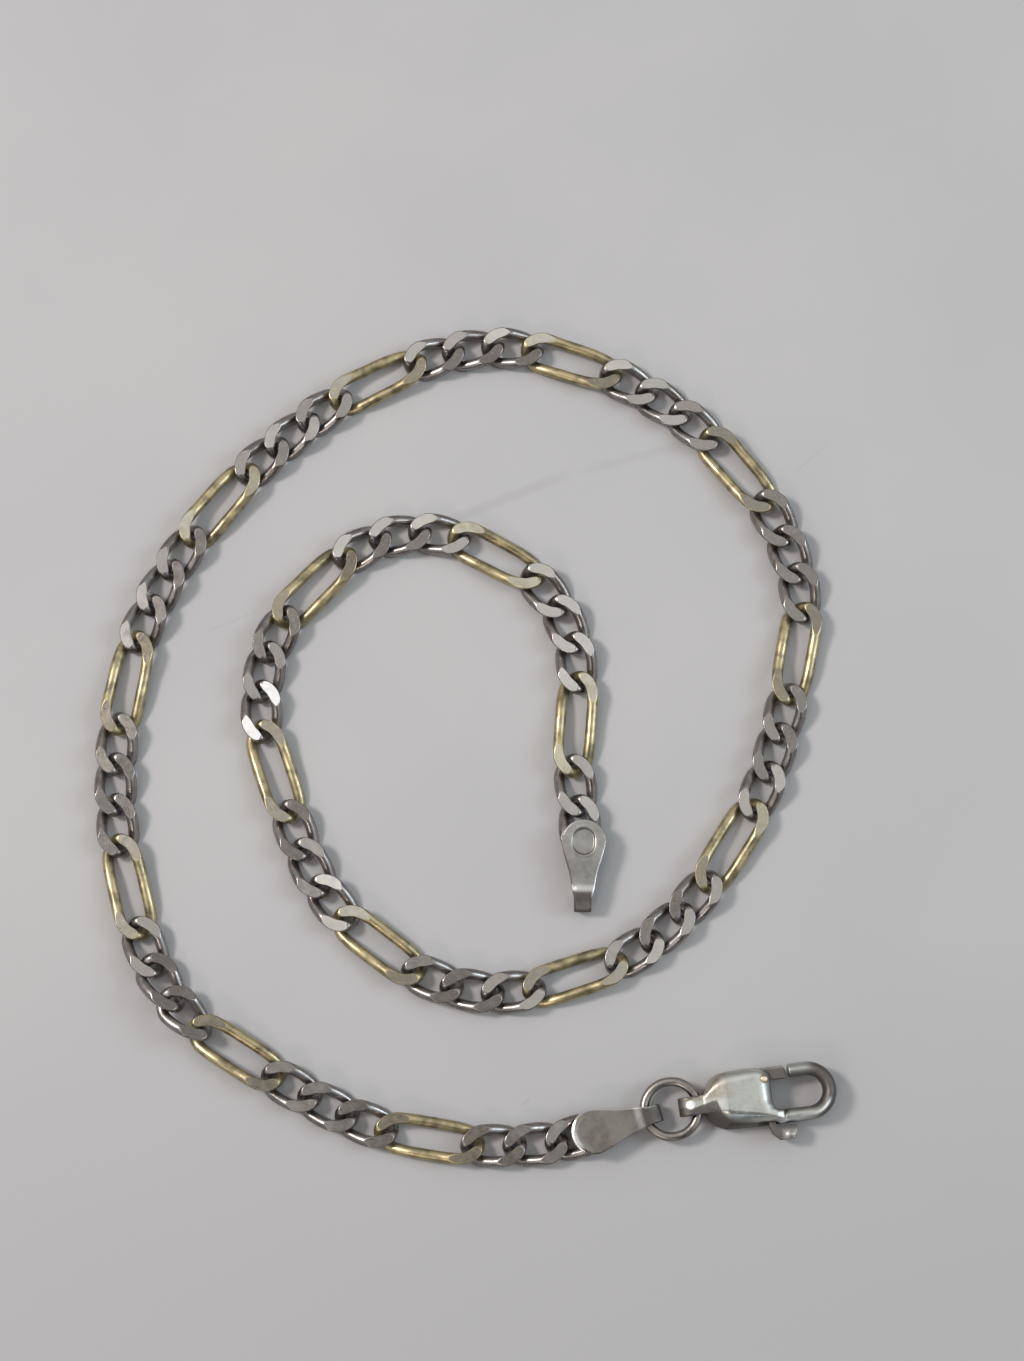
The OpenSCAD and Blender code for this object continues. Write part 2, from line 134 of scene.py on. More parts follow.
def sag(half):
    """How far the ring's wire bends away across a piece of this half width."""
    return RING_R - sqrt(RING_R ** 2 - half ** 2)


RING_SEAT = (EYE_OUTER - EYE_WALL - GAP - RING_SLACK - sag(STRIP_WIDTH / 2)
             - RING_WIRE / 2 * RING_R / sqrt(RING_R ** 2 - STRIP_WIDTH ** 2 / 4))
CLASP_SEAT = sag(NECK_HALF) / 2


# helpers for numbers
def ramp(t, a, b):
    """Smooth step from 0 at a to 1 at b."""
    t = np.clip((np.asarray(t, float) - a) / (b - a), 0, 1)
    return t * t * (3 - 2 * t)


def fade(t, a, b):
    """Smooth step from 1 at a to 0 at b."""
    return 1 - ramp(t, a, b)


def bell(t, middle, half):
    """Smooth hump, 1 at its middle."""
    return np.exp(-((t - middle) / half) ** 2)


def follow(x, rows):
    """Value at x from (place, value) rows, straight between them."""
    return np.interp(x, *zip(*rows))


def around(n):
    """Angles of n equal steps round a circle."""
    return np.linspace(0, 2 * pi, n, endpoint=False)


def unit(v):
    """The vector at length 1."""
    v = np.asarray(v, float)
    return v / np.linalg.norm(v)


# places
def make_line():
    """Points along the smooth line of the laid chain, and the distance at each of them."""
    p = [np.array(q, float) for q in ROUTE]
    p = [2 * p[0] - p[1]] + p + [2 * p[-1] - p[-2]]
    span = [np.linalg.norm(b - a) for a, b in zip(p, p[1:])]
    slope = [(span[i - 1] * (p[i + 1] - p[i]) / span[i] + span[i] * (p[i] - p[i - 1]) / span[i - 1])
             / (span[i - 1] + span[i]) for i in range(1, len(ROUTE) + 1)]
    line = [p[1] - LEAD_IN * unit(slope[0])]
    for i in range(len(ROUTE) - 1):
        for k in range(CURVE_STEPS):
            t = k / CURVE_STEPS
            line.append((2 * t**3 - 3 * t**2 + 1) * p[i + 1] + (3 * t**2 - 2 * t**3) * p[i + 2]
                        + span[i + 1] * ((t**3 - 2 * t**2 + t) * slope[i] + (t**3 - t**2) * slope[i + 1]))
    line += [p[-2], p[-2] + LEAD_OUT * unit(slope[-1])]
    line = np.array(line) - ROUTE_MIDDLE
    steps = np.linalg.norm(np.diff(line, axis=0), axis=1)
    return line, np.concatenate([[0], np.cumsum(steps)]) - LEAD_IN


def is_long(i):
    return i % (BETWEEN + 1) == 2 and i < LINKS - 1


def make_joints():
    """Middle points between neighbouring links, with their height."""
    line, run = make_line()
    joints, s = [], CHAIN_START
    for k in range(LINKS - 1):
        _, pitch_share, lift = CROOKED.get(k, UPRIGHT)
        if k:
            s += (LONG_PITCH if is_long(k) else SHORT_PITCH) * pitch_share
        joints.append(np.array([np.interp(s, run, line[:, 0]), np.interp(s, run, line[:, 1]),
                                HALF_THICK + lift]))
    return joints


JOINTS = make_joints()


def turned(points, degrees, shift=(0, 0, 0)):
    """Points turned about z, then moved."""
    c, s = cos(radians(degrees)), sin(radians(degrees))
    p = np.asarray(points, float)
    return np.stack([p[:, 0] * c - p[:, 1] * s, p[:, 0] * s + p[:, 1] * c, p[:, 2]], 1) + shift


def at_tag(points, inner):
    """Points of the inner or outer tag where it lies."""
    joint = JOINTS[0 if inner else LINKS - 2]
    return turned(points, INNER_HEADING if inner else OUTER_HEADING, (joint[0], joint[1], 0))


def ring_middle():
    return at_tag([[EYE_X + RING_SEAT + RING_R, 0, 0]], False)[0]


def at_clasp(points):
    """Points of the clasp where it lies."""
    p = np.asarray(points, float) + (RING_R - CLASP_SEAT, 0, 0)
    return turned(p, CLASP_HEADING, ring_middle())


# object helpers
def new_object(name, data):
    """An object in the scene."""
    obj = bpy.data.objects.new(name, data)
    bpy.context.scene.collection.objects.link(obj)
    return obj


def new_mesh(name, points, faces, materials):
    """A mesh object in metres from points in millimetres."""
    mesh = bpy.data.meshes.new(name)
    mesh.from_pydata([tuple(p) for p in np.asarray(points, float) * MM], [], faces)
    for m in materials:
        mesh.materials.append(m)
    return new_object(name, mesh)


def add_values(obj, name, values):
    """A number at each point, for the materials."""
    held = obj.data.attributes.new(name, "FLOAT", "POINT").data
    held.foreach_set("value", np.asarray(values, np.float32))


def slot_node(slot):
    """Name of the plain solid with this material slot."""
    return [r["node"] for r in frame["record"]["subparts"] if r["material_slot"] == slot][0]


def hand_in(obj, body, slot):
    """Attaches a piece to what it rides on, and hides the plain solid that it stands for, found by its
    material slot.
    """
    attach(obj, body)
    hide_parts(slot_node(slot))


def loft(rings, closed=False):
    """Points and faces through rings of equally many points, capped unless it closes on itself."""
    n, m = len(rings[0]), len(rings)
    points = [p for ring in rings for p in ring]
    faces = []
    for i in range(m if closed else m - 1):
        a, b = i * n, (i + 1) % m * n
        faces += [(a + k, a + (k + 1) % n, b + (k + 1) % n, b + k) for k in range(n)]
    if not closed:
        faces += [tuple(range(n - 1, -1, -1)), tuple(range((m - 1) * n, m * n))]
    return points, faces


def joined(solids):
    """One list of points and one of faces from several (points, faces) solids."""
    points, faces = [], []
    for solid_points, solid_faces in solids:
        start = len(points)
        points += [tuple(p) for p in solid_points]
        faces += [tuple(start + v for v in f) for f in solid_faces]
    return points, faces


def prism(outline, low, high):
    """A solid with this outline seen from above."""
    return loft([[(x, y, z) for x, y in outline] for z in (low, high)])


def bar(x0, x1, half_y, low, high):
    """A straight bar along x."""
    return prism([(x0, -half_y), (x1, -half_y), (x1, half_y), (x0, half_y)], low, high)


def lying_slab(profile, half_y):
    """A solid with this outline seen from its side."""
    return loft([[(x, y, z) for x, z in profile] for y in (-half_y, half_y)])


def circle(cx, cy, r, n=40):
    """Outline of a round, about (cx, cy)."""
    return [(cx + r * cos(a), cy + r * sin(a)) for a in around(n)]


def tube(path, wide, high, sides):
    """A wire of elliptical section along a level path, with blunt ends."""
    path = np.asarray(path, float)
    rings = []
    for i, p in enumerate(path):
        t = unit(path[min(i + 1, len(path) - 1)] - path[max(i - 1, 0)])
        n = np.array([t[1], -t[0], 0])
        rings.append([tuple(p + n * wide * cos(a) + np.array([0, 0, high * sin(a)]))
                      for a in around(sides)])
    return loft(rings)


def temp_object(points, faces):
    """A throw-away object at the scale one unit to the millimetre, with outward normals."""
    mesh = bpy.data.meshes.new("temp")
    mesh.from_pydata([tuple(p) for p in points], [], faces)
    bm = bmesh.new()
    bm.from_mesh(mesh)
    bmesh.ops.recalc_face_normals(bm, faces=bm.faces)
    bm.to_mesh(mesh)
    bm.free()
    return new_object("temp", mesh)


def add_skin(obj, voxel):
    """Remakes the object's surface in squares of this size, as one skin."""
    mod = obj.modifiers.new("skin", "REMESH")
    mod.mode, mod.voxel_size = "VOXEL", voxel


def melted(voxel, rounds, solids, cuts=()):
    """Points and faces of one skin over overlapping solids, with cuts taken out and its edges
    softened."""
    base = temp_object(*joined(solids))
    cutters = [temp_object(*c) for c in cuts]
    add_skin(base, voxel)
    for o in cutters:
        mod = base.modifiers.new("cut", "BOOLEAN")
        mod.object, mod.operation, mod.solver = o, "DIFFERENCE", "EXACT"
    if cutters:
        add_skin(base, voxel)
    soft = base.modifiers.new("soft", "SMOOTH")
    soft.factor, soft.iterations = 0.5, rounds
    bpy.context.view_layer.update()
    shape = base.evaluated_get(bpy.context.evaluated_depsgraph_get()).to_mesh()
    points = np.zeros(len(shape.vertices) * 3)
    shape.vertices.foreach_get("co", points)
    faces = [tuple(f.vertices) for f in shape.polygons]
    for o in [base] + cutters:
        mesh = o.data
        bpy.data.objects.remove(o)
        bpy.data.meshes.remove(mesh)
    return points.reshape(-1, 3), faces


# links
END_STEPS = 36
SIDE_SEGMENTS = 9
SECTION_POINTS = 2 * SIDE_SEGMENTS + 6
# where the wire isn't ground, its topmost points lie this far from straight up, in degrees
NARROWEST_FLAT = 8
# width of a flat's bevelled rim, and how far grinding pushes the flat's inner edge inward
RIM = 0.034
FLAT_FILL = 0.04


def centre_line(half, side_points, power):
    """Middle line of a link's wire: two rounded ends and two sides, twisted about its length."""
    a = np.radians(np.linspace(-90, 90, END_STEPS))
    side = np.linspace(half - END_REACH, END_REACH - half, side_points + 2)[1:-1]
    flat = np.full(len(side), HALF_WIDTH)
    x = np.concatenate([half - END_REACH + END_REACH * np.cos(a), side,
                        END_REACH - half - END_REACH * np.cos(a), -side])
    y = np.concatenate([HALF_WIDTH * np.sin(a), flat, -HALF_WIDTH * np.sin(a), -flat])
    turn = np.radians(-TWIST * np.sign(x) * (np.abs(x) / half) ** power)
    return np.stack([x, y * np.cos(turn), y * np.sin(turn)], 1)


def flat_edge(room):
    """Angle from straight up to the edge of a ground flat that lies this high over the wire's
    middle, and whether the wire is ground there."""
    narrow = radians(NARROWEST_FLAT)
    if room >= WIRE_R * cos(narrow):
        return narrow, False
    return acos(max(room, 0.02) / WIRE_R), True


def wire_section(top, bottom, fill_top, fill_bottom):
    """Section of a ground wire as (outward, up) points. The inner edge of a flat is pressed
    inward by its fill."""
    (at, cut_t), (ab, cut_b) = flat_edge(top), flat_edge(bottom)
    step = RIM / WIRE_R

    def edge(angle, cut, room, sign):
        out = WIRE_R * sin(angle) - (RIM if cut else 0)
        return out, sign * (room if cut else WIRE_R * cos(angle))

    arc = np.linspace(at + step, pi - ab - step, SIDE_SEGMENTS + 1)
    out_t, up_t = edge(at, cut_t, top, 1)
    out_b, up_b = edge(ab, cut_b, bottom, -1)
    outer = [(WIRE_R * sin(t), WIRE_R * cos(t)) for t in arc]
    ring = [(-out_t, up_t), (out_t, up_t)] + outer + [(out_b, up_b), (-out_b, up_b)]
    ring += [(-u, v) for u, v in reversed(outer)]
    filled = []
    for u, v in ring:
        if u < 0:
            share = v / WIRE_R
            u -= fill_top * ramp(share, -0.1, 0.35) + fill_bottom * ramp(-share, -0.1, 0.35)
        filled.append((u, v))
    return filled


def flat_fill(cuts):
    """Inward fill of each section: greatest at the middle of every run of ground sections."""
    m = len(cuts)
    fill = np.zeros(m)
    for i in range(m):
        if cuts[i] and not cuts[i - 1]:
            n = 1
            while cuts[(i + n) % m]:
                n += 1
            for k in range(n):
                fill[(i + k) % m] = FLAT_FILL * sin(pi * (k + 0.5) / n) ** 1.5
    return fill


def ground_link(half, side_points, power):
    """One link about its own middle: points, faces, which faces are ground flat, and its tarnish and painted
    shade.
    """
    line = centre_line(half, side_points, power)
    m, n = len(line), SECTION_POINTS
    axes, rooms = [], []
    for i, c in enumerate(line):
        t = unit(unit(line[(i + 1) % m] - c) + unit(c - line[i - 1]))
        outward = unit(np.cross(t, (0, 0, 1)))
        up = np.cross(outward, t)
        axes.append((outward, up))
        rooms.append(((HALF_THICK - c[2]) / up[2], (HALF_THICK + c[2]) / up[2]))
    cuts = [(flat_edge(top)[1], flat_edge(bottom)[1]) for top, bottom in rooms]
    fills = zip(flat_fill([c[0] for c in cuts]), flat_fill([c[1] for c in cuts]))
    points, tarnish_and_shade = [], []
    for c, (outward, up), (top, bottom), (fill_t, fill_b) in zip(line, axes, rooms, fills):
        for u, v in wire_section(top, bottom, fill_t, fill_b):
            points.append(c + outward * u + up * v)
            # tarnish and painted shade on the wire's inner side, more towards the link's ends where links
            # cross, and painted shade underneath
            inward, below = min(max(-u, 0) / WIRE_R, 1), max(-v, 0) / WIRE_R
            tarnish_and_shade.append(inward * (0.35 + 0.65 * ramp(abs(c[0]) / half, 0.3, 0.8)) + 0.5 * below)
    faces, flats = [], []
    for i in range(m):
        j = (i + 1) % m
        for k in range(n):
            q = (k + 1) % n
            faces.append((i * n + k, i * n + q, j * n + q, j * n + k))
            flats.append((k == 0 and cuts[i][0] and cuts[j][0])
                         or (k == SIDE_SEGMENTS + 3 and cuts[i][1] and cuts[j][1]))
    return np.array(points), faces, np.array(flats), np.clip(tarnish_and_shade, 0, 1)


SHORT_LINK = ground_link(SHORT_HALF, 4, 1)
LONG_LINK = ground_link(LONG_HALF, 20, 2)


# seeds and spreads of what differs by chance from link to link: the flats' tone, roll and tilt
# in degrees, and how gilt a short link beside a long one is
TONE_SEED, LIE_SEED, GILT_SEED = 100, 500, 900
TONE_SPREAD, ROLL_SPREAD, TILT_SPREAD, GILT_SPREAD = 0.2, 2.5, 1.2, 0.3


def link_shape(i):
    return LONG_LINK if is_long(i) else SHORT_LINK


def wobble_of(i):
    """Small chance roll and tilt of a link, in degrees; the crooked ones lean further."""
    rng = random.Random(LIE_SEED + i)
    roll = rng.uniform(-ROLL_SPREAD, ROLL_SPREAD) + MORE_ROLL.get(i, 0)
    return roll, rng.uniform(-TILT_SPREAD, TILT_SPREAD)


def placed(i):
    """Points of link i where it lies between its joints, never below the table."""
    more_roll, more_tilt = wobble_of(i)
    a, b = JOINTS[i - 1], JOINTS[i]
    d = b - a
    roll = radians(CROOKED.get(i, UPRIGHT)[0] + more_roll)
    tilt = atan2(d[2], hypot(d[0], d[1])) + radians(more_tilt)
    turn = atan2(d[1], d[0])
    rot = Matrix.Rotation(turn, 3, "Z") @ Matrix.Rotation(-tilt, 3, "Y") @ Matrix.Rotation(roll, 3, "X")
    p = link_shape(i)[0] @ np.array(rot).T + (a + b) / 2
    p[:, 2] -= min(0, p[:, 2].min())
    return p


def join_links(placed_links):
    """One mesh's data from (link number, shape, points) rows."""
    data = {k: [] for k in ("points", "faces", "flats", "tarnish_and_shade", "shade_and_tone", "local")}
    start = 0
    for number, shape, points in placed_links:
        chance = random.Random(TONE_SEED + number).uniform(-TONE_SPREAD, TONE_SPREAD)
        # painted light and shade of the link's flats from the table, with a chance tone; the lean shifts it
        # between the two flats
        shade_and_chance = follow(number, FLAT_LIGHT_AND_SHADE) + chance
        data["points"].append(points)
        data["faces"] += [tuple(start + v for v in f) for f in shape[1]]
        data["flats"].append(shape[2])
        data["tarnish_and_shade"].append(shape[3])
        data["shade_and_tone"].append(shade_and_chance - follow(number, FLAT_SHADE_LEAN) / 2 * np.sign(shape[0][:, 0]))
        # each link takes its scratches from another place
        data["local"].append(shape[0][:, :2] + (3.1 * number, 1.7 * number))
        start += len(points)
    return {k: v if k == "faces" else np.concatenate(v) for k, v in data.items()}


def dress_links(obj, data, gilt):
    """Ground flats and shading data on a mesh whose first points and faces are links'."""
    mesh = obj.data
    count = len(mesh.vertices)
    for name, values, elsewhere in (("tarnish_and_shade", data["tarnish_and_shade"], 0.0), ("shade_and_tone", data["shade_and_tone"], 0.5),
                                    ("gilt", gilt, 0.0)):
        full = np.full(count, elsewhere, float)
        full[:len(values)] = values
        add_values(obj, name, full)
    flats = np.zeros(len(mesh.polygons), bool)
    flats[:len(data["flats"])] = data["flats"]
    for poly in mesh.polygons:
        poly.use_smooth = not flats[poly.index]
        if flats[poly.index]:
            poly.material_index = 1
    uv = mesh.uv_layers.new(name="link").data
    local = np.zeros((count, 2))
    local[:len(data["local"])] = data["local"]
    for loop in mesh.loops:
        uv[loop.index].uv = local[loop.vertex_index]


def gilt_of(i):
    """How gilt a link looks: long links fully, their neighbours a little."""
    if is_long(i):
        return 1.0
    near = is_long(i - 1) or is_long(i + 1)
    return random.Random(GILT_SEED + i).uniform(0, GILT_SPREAD) if near else 0.0


def build_chain(name, numbers, slot, materials):
    """The loose links with these numbers as one piece."""
    rows = [(i, link_shape(i), placed(i)) for i in numbers]
    data = join_links(rows)
    obj = new_mesh(name, data["points"], data["faces"], materials)
    dress_links(obj, data, np.concatenate([np.full(len(points), gilt_of(i)) for i, _, points in rows]))
    hand_in(obj, "bracelet", slot)


# materials
class Nodes:
    """Short calls for a node tree, which starts empty."""

    def __init__(self, tree):
        self.tree = tree
        tree.nodes.clear()

    def add(self, kind, *sources, **settings):
        """A node with these settings, whose first inputs are these sources."""
        node = self.tree.nodes.new(kind)
        for key, value in settings.items():
            setattr(node, key, value)
        for source, target in zip(sources, node.inputs):
            self.link(source, target)
        return node

    def link(self, source, target):
        """Links a socket, or sets a constant."""
        if isinstance(source, (int, float, tuple)):
            target.default_value = source
        else:
            self.tree.links.new(source, target)

    def math(self, op, a, b=0.0):
        return self.add("ShaderNodeMath", a, b, operation=op).outputs[0]

    def vector(self, op, a, b, output="Vector"):
        return self.add("ShaderNodeVectorMath", a, b, operation=op).outputs[output]

    def mix(self, factor, a, b):
        """Colour a where the factor is 0, b where it is 1."""
        node = self.add("ShaderNodeMix", data_type="RGBA")
        self.link(factor, node.inputs["Factor"])
        self.link(a, node.inputs[6])
        self.link(b, node.inputs[7])
        return node.outputs[2]

    def value(self, name):
        return self.add("ShaderNodeAttribute", attribute_name=name).outputs["Fac"]

    def place(self):
        return self.add("ShaderNodeTexCoord").outputs["Object"]

    def split(self, vector):
        return self.add("ShaderNodeSeparateXYZ", vector).outputs

    def noise(self, scale, detail=3.0, rough=0.5, stretch=(1, 1, 1), along_link=False):
        """Noise in the object's space, or in each link's own."""
        place = self.add("ShaderNodeUVMap", uv_map="link").outputs[0] if along_link else self.place()
        mapping = self.add("ShaderNodeMapping", place)
        self.link(stretch, mapping.inputs["Scale"])
        node = self.add("ShaderNodeTexNoise", mapping.outputs[0])
        for key, value in (("Scale", scale), ("Detail", detail), ("Roughness", rough)):
            node.inputs[key].default_value = value
        return node.outputs["Fac"]

    def step(self, source, low, high, out_low=0.0, out_high=1.0):
        """Smooth step from out_low where the source is low to out_high where it is high."""
        node = self.add("ShaderNodeMapRange", source, interpolation_type="SMOOTHSTEP")
        for key, value in zip(("From Min", "From Max", "To Min", "To Max"), (low, high, out_low, out_high)):
            node.inputs[key].default_value = value
        return node.outputs[0]

    def bump(self, height, distance, strength, normal=None):
        """Normal of a relief of this depth in metres, over another normal if there is one."""
        node = self.add("ShaderNodeBump")
        self.link(height, node.inputs["Height"])
        node.inputs["Distance"].default_value = distance
        node.inputs["Strength"].default_value = strength
        if normal is not None:
            self.link(normal, node.inputs["Normal"])
        return node.outputs[0]


class Surface(Nodes):
    """A material's nodes and its shader."""

    def __init__(self, name):
        self.material = bpy.data.materials.new(name)
        self.material.use_nodes = True
        super().__init__(self.material.node_tree)
        self.shader = self.add("ShaderNodeBsdfPrincipled")
        self.add("ShaderNodeOutputMaterial", self.shader.outputs[0])

    def finish(self, colour, roughness, normal, metallic=1.0):
        self.link(colour, self.shader.inputs["Base Color"])
        self.link(roughness, self.shader.inputs["Roughness"])
        self.link(normal, self.shader.inputs["Normal"])
        self.shader.inputs["Metallic"].default_value = metallic
        return self.material


def rgb(r, g, b):
    """Linear colour from the 0 to 255 values that a picture shows."""
    def lin(v):
        v /= 255
        return v / 12.92 if v <= 0.04045 else ((v + 0.055) / 1.055) ** 2.4
    return lin(r), lin(g), lin(b), 1.0


# colours of tarnished silver, with DARK for its tarnish, its painted shade and the table's marks, BEIGE for
# a warm cast and two whites for painted highlights; of the gilding on it; and of the ground flats of either,
# from a painted glare through lit to painted shade
GREY, BROWN, DARK, BEIGE = rgb(152, 147, 145), rgb(130, 122, 118), rgb(92, 86, 83), rgb(178, 160, 142)
HIGHLIGHT_WHITE, HIGHLIGHT_WARM = rgb(251, 251, 251), rgb(255, 238, 214)
GILT_WIRE, GILT_WIRE_OLIVE = rgb(188, 173, 136), rgb(130, 121, 98)
FLAT_GLARE, FLAT_BRIGHT, FLAT_SHADED = rgb(253, 251, 250), rgb(214, 210, 206), rgb(115, 108, 104)
FLAT_STAIN, FLAT_SCRATCH = rgb(152, 146, 138), rgb(222, 220, 216)
GILT_BRIGHT, GILT_SHADED, GILT_STAIN = rgb(206, 199, 171), rgb(126, 117, 98), rgb(160, 146, 120)


def wire_material():
    """Tarnished wire of the links' sides: silver-grey, gilt on long links, browner and darker inside and
    underneath with tarnish and painted shade.
    """
    n = Surface("link_wire")
    tarnish_and_shade, gilt = n.value("tarnish_and_shade"), n.value("gilt")
    silver = n.mix(n.step(n.noise(900, 4), 0.35, 0.7), GREY, BROWN)
    gold = n.mix(n.step(n.noise(1300, 4), 0.4, 0.68), GILT_WIRE, GILT_WIRE_OLIVE)
    colour = n.mix(n.step(gilt, 0.4, 0.9), silver, gold)
    # tarnish in the crevices, with painted shade there and underneath
    colour = n.mix(n.step(tarnish_and_shade, 0.15, 0.95, 0.0, 0.5), colour, DARK)
    roughness = n.math("ADD", n.step(n.noise(2500, 3), 0.3, 0.7, 0.24, 0.36), n.math("MULTIPLY", tarnish_and_shade, 0.2))
    roughness = n.math("ADD", roughness, n.math("MULTIPLY", gilt, 0.07))
    return n.finish(colour, roughness, n.bump(n.noise(5000, 3, 0.5), 0.000008, 0.5))


def flat_material():
    """Ground flats: bright satin with fine scratches; each link's flats carry their own painted light and
    shade and a chance tone.
    """
    n = Surface("link_flat")
    shade_and_tone = n.value("shade_and_tone")
    # painted shade from the lit colour to the shaded one, and a painted glare where the value is below 0
    plain = n.mix(n.step(shade_and_tone, 0.0, 1.1), FLAT_BRIGHT, FLAT_SHADED)
    plain = n.mix(n.step(shade_and_tone, -0.5, -0.1), FLAT_GLARE, plain)
    stains = n.math("MULTIPLY", n.step(n.noise(1100, 4, 0.6), 0.42, 0.78), 0.35)
    silver = n.mix(stains, plain, FLAT_STAIN)
    pale = n.mix(n.step(shade_and_tone, 0.0, 1.1), GILT_BRIGHT, GILT_SHADED)
    gold = n.mix(n.step(n.noise(1400, 4), 0.45, 0.75), pale, GILT_STAIN)
    worn = n.step(n.noise(500, 2), 0.35, 0.65, 0.35, 0.75)
    colour = n.mix(n.math("MULTIPLY", n.value("gilt"), worn), silver, gold)
    scratches = n.noise(26, 3, 0.6, (0.16, 1, 1), along_link=True)
    colour = n.mix(n.step(scratches, 0.5, 0.75, 0, 0.3), colour, FLAT_SCRATCH)
    roughness = n.step(n.noise(2200, 4), 0.3, 0.75, 0.26, 0.42)
    uneven = n.bump(n.noise(700, 2), 0.00002, 0.6)
    return n.finish(colour, roughness, n.bump(scratches, 0.000010, 0.8, uneven))


def plate_material(name, light, dark, rough, speckle=0.5):
    """Satin cast or stamped silver with faint mottling, fine scratches and a beige cast, with painted shade
    and painted highlights.
    """
    n = Surface(name)
    tarnish_and_shade, warm = n.value("tarnish_and_shade"), n.value("warm")
    patches = n.step(n.noise(1000, 5, 0.62), 0.38, 0.72)
    specks = n.step(n.noise(4200, 3), 0.62, 0.74, 0, speckle)
    colour = n.mix(specks, n.mix(patches, light, dark), BROWN)
    colour = n.mix(warm, colour, BEIGE)
    # tarnish and painted shade
    colour = n.mix(n.step(tarnish_and_shade, 0.0, 1.0, 0, 0.95), colour, DARK)
    # painted highlights, warm where the cast is
    colour = n.mix(n.value("painted_highlight"), colour, n.mix(warm, HIGHLIGHT_WHITE, HIGHLIGHT_WARM))
    satin = n.step(n.noise(2600, 4), 0.3, 0.72, *rough)
    roughness = n.math("ADD", satin, n.math("MULTIPLY", tarnish_and_shade, 0.28))
    broad = n.bump(n.noise(1500, 3), 0.00002, 0.4)
    return n.finish(colour, roughness, n.bump(n.noise(5200, 4, 0.6), 0.000008, 0.6, broad))


# faint marks on the table, in millimetres: start, end, half width, strength
MARKS = [((-1.8, 11.9), (6.6, 15.3), 0.45, 1.0), ((6.0, 15.0), (13.4, 17.0), 0.4, 0.7),
         ((-14.9, 5.7), (-10.9, 7.3), 0.08, 0.7), ((18.4, 14.8), (20.8, 17.0), 0.06, 0.9),
         ((3.2, -20.2), (3.8, -19.7), 0.09, 1.2), ((11.1, -23.0), (12.3, -19.9), 0.08, 0.6)]


def add_mark(n, place, start, end, half_width, strength):
    """Darkness of one faint straight mark, soft across it and towards its ends."""
    along = np.array([end[0] - start[0], end[1] - start[1], 0]) * MM
    length = np.linalg.norm(along)
    offset = n.vector("SUBTRACT", place, (start[0] * MM, start[1] * MM, 0))
    share = n.math("DIVIDE", n.vector("DOT_PRODUCT", offset, tuple(along / length), "Value"), length)
    inside = n.math("MULTIPLY", n.step(share, 0.0, 0.25), n.step(share, 1.0, 0.75))
    beside = n.vector("DOT_PRODUCT", offset, (-along[1] / length, along[0] / length, 0), "Value")
    near = n.step(n.math("ABSOLUTE", beside), half_width * MM, 0.2 * half_width * MM)
    return n.math("MULTIPLY", n.math("MULTIPLY", inside, near), strength)


def floor_material():
    """Pale smooth table top with faint marks and a painted shade that darkens it a little towards -y."""
    n = Surface("table_top")
    place = n.place()
    colour = n.mix(n.step(n.noise(60, 3), 0.3, 0.7), rgb(174, 172, 172), rgb(170, 168, 169))
    # painted shade: the table darkens a little towards -y
    colour = n.mix(n.step(n.split(place)["Y"], 0.0, -0.034), colour, rgb(163, 161, 162))
    marks = 0.0
    for mark in MARKS:
        marks = n.math("ADD", marks, add_mark(n, place, *mark))
    colour = n.mix(n.math("MULTIPLY", marks, 0.1), colour, DARK)
    n.shader.inputs["Specular IOR Level"].default_value = 0.3
    return n.finish(colour, 0.55, n.bump(n.noise(1800, 3), 0.00001, 0.3), metallic=0.0)


# end tags
def tag_outline():
    """Pear shape of a tag: round end, straight sides, strip."""
    first = pi / 2 - TAG_TAPER
    arc = [(TAG_MIDDLE + TAG_WIDTH / 2 * cos(a), TAG_WIDTH / 2 * sin(a))
           for a in np.linspace(first, 2 * pi - first, 40)]
    return [(EYE_X, STRIP_WIDTH / 2)] + arc + [(EYE_X, -STRIP_WIDTH / 2)]


def strip_loop():
    """Folded strip: over the end, round the eye and back under the plate."""
    mid = EYE_OUTER - EYE_WALL / 2
    path = [(EYE_X - FOLD_BACK, 2 * EYE_OUTER - EYE_WALL / 2)]
    path += [(EYE_X + mid * sin(a), EYE_OUTER + mid * cos(a)) for a in np.linspace(0, pi, 24)]
    path += [(EYE_X - FOLD_BACK, EYE_WALL / 2)]
    rings = []
    for i, (x, z) in enumerate(path):
        ax, az = path[max(i - 1, 0)]
        bx, bz = path[min(i + 1, len(path) - 1)]
        t = unit((bx - ax, bz - az))
        nx, nz = -t[1] * EYE_WALL / 2, t[0] * EYE_WALL / 2
        w = STRIP_WIDTH / 2
        rings.append([(x + nx, -w, z + nz), (x + nx, w, z + nz), (x - nx, w, z - nz), (x - nx, -w, z - nz)])
    return loft(rings)


def fold_foot():
    """Returned end of the strip, pressed up against the plate."""
    return bar(EYE_X - FOLD_BACK, EYE_X - EYE_DRAW - 0.12, STRIP_WIDTH / 2, 0.02, PLATE_LOW + 0.1)


def oval_out(x, y):
    """Distance outside the edge of the oval that is pressed into the inner tag."""
    beyond = np.maximum(np.abs(x - TAG_MIDDLE) - (OVAL_LONG - OVAL_WIDE) / 2, 0)
    return np.hypot(beyond, y) - OVAL_WIDE / 2


def tag_rim(x, y):
    """How near a point of a tag is to its outline, from 0 inside to 1 on the edge."""
    radius = TAG_WIDTH / 2
    meet = TAG_MIDDLE + radius * sin(TAG_TAPER)
    round_half = np.sqrt(np.clip(radius ** 2 - (x - TAG_MIDDLE) ** 2, 0, None))
    side_half = follow(x, [(meet, radius * cos(TAG_TAPER)), (EYE_X, STRIP_WIDTH / 2)])
    return fade(np.where(x < meet, round_half, side_half) - np.abs(y), 0.03, 0.11)


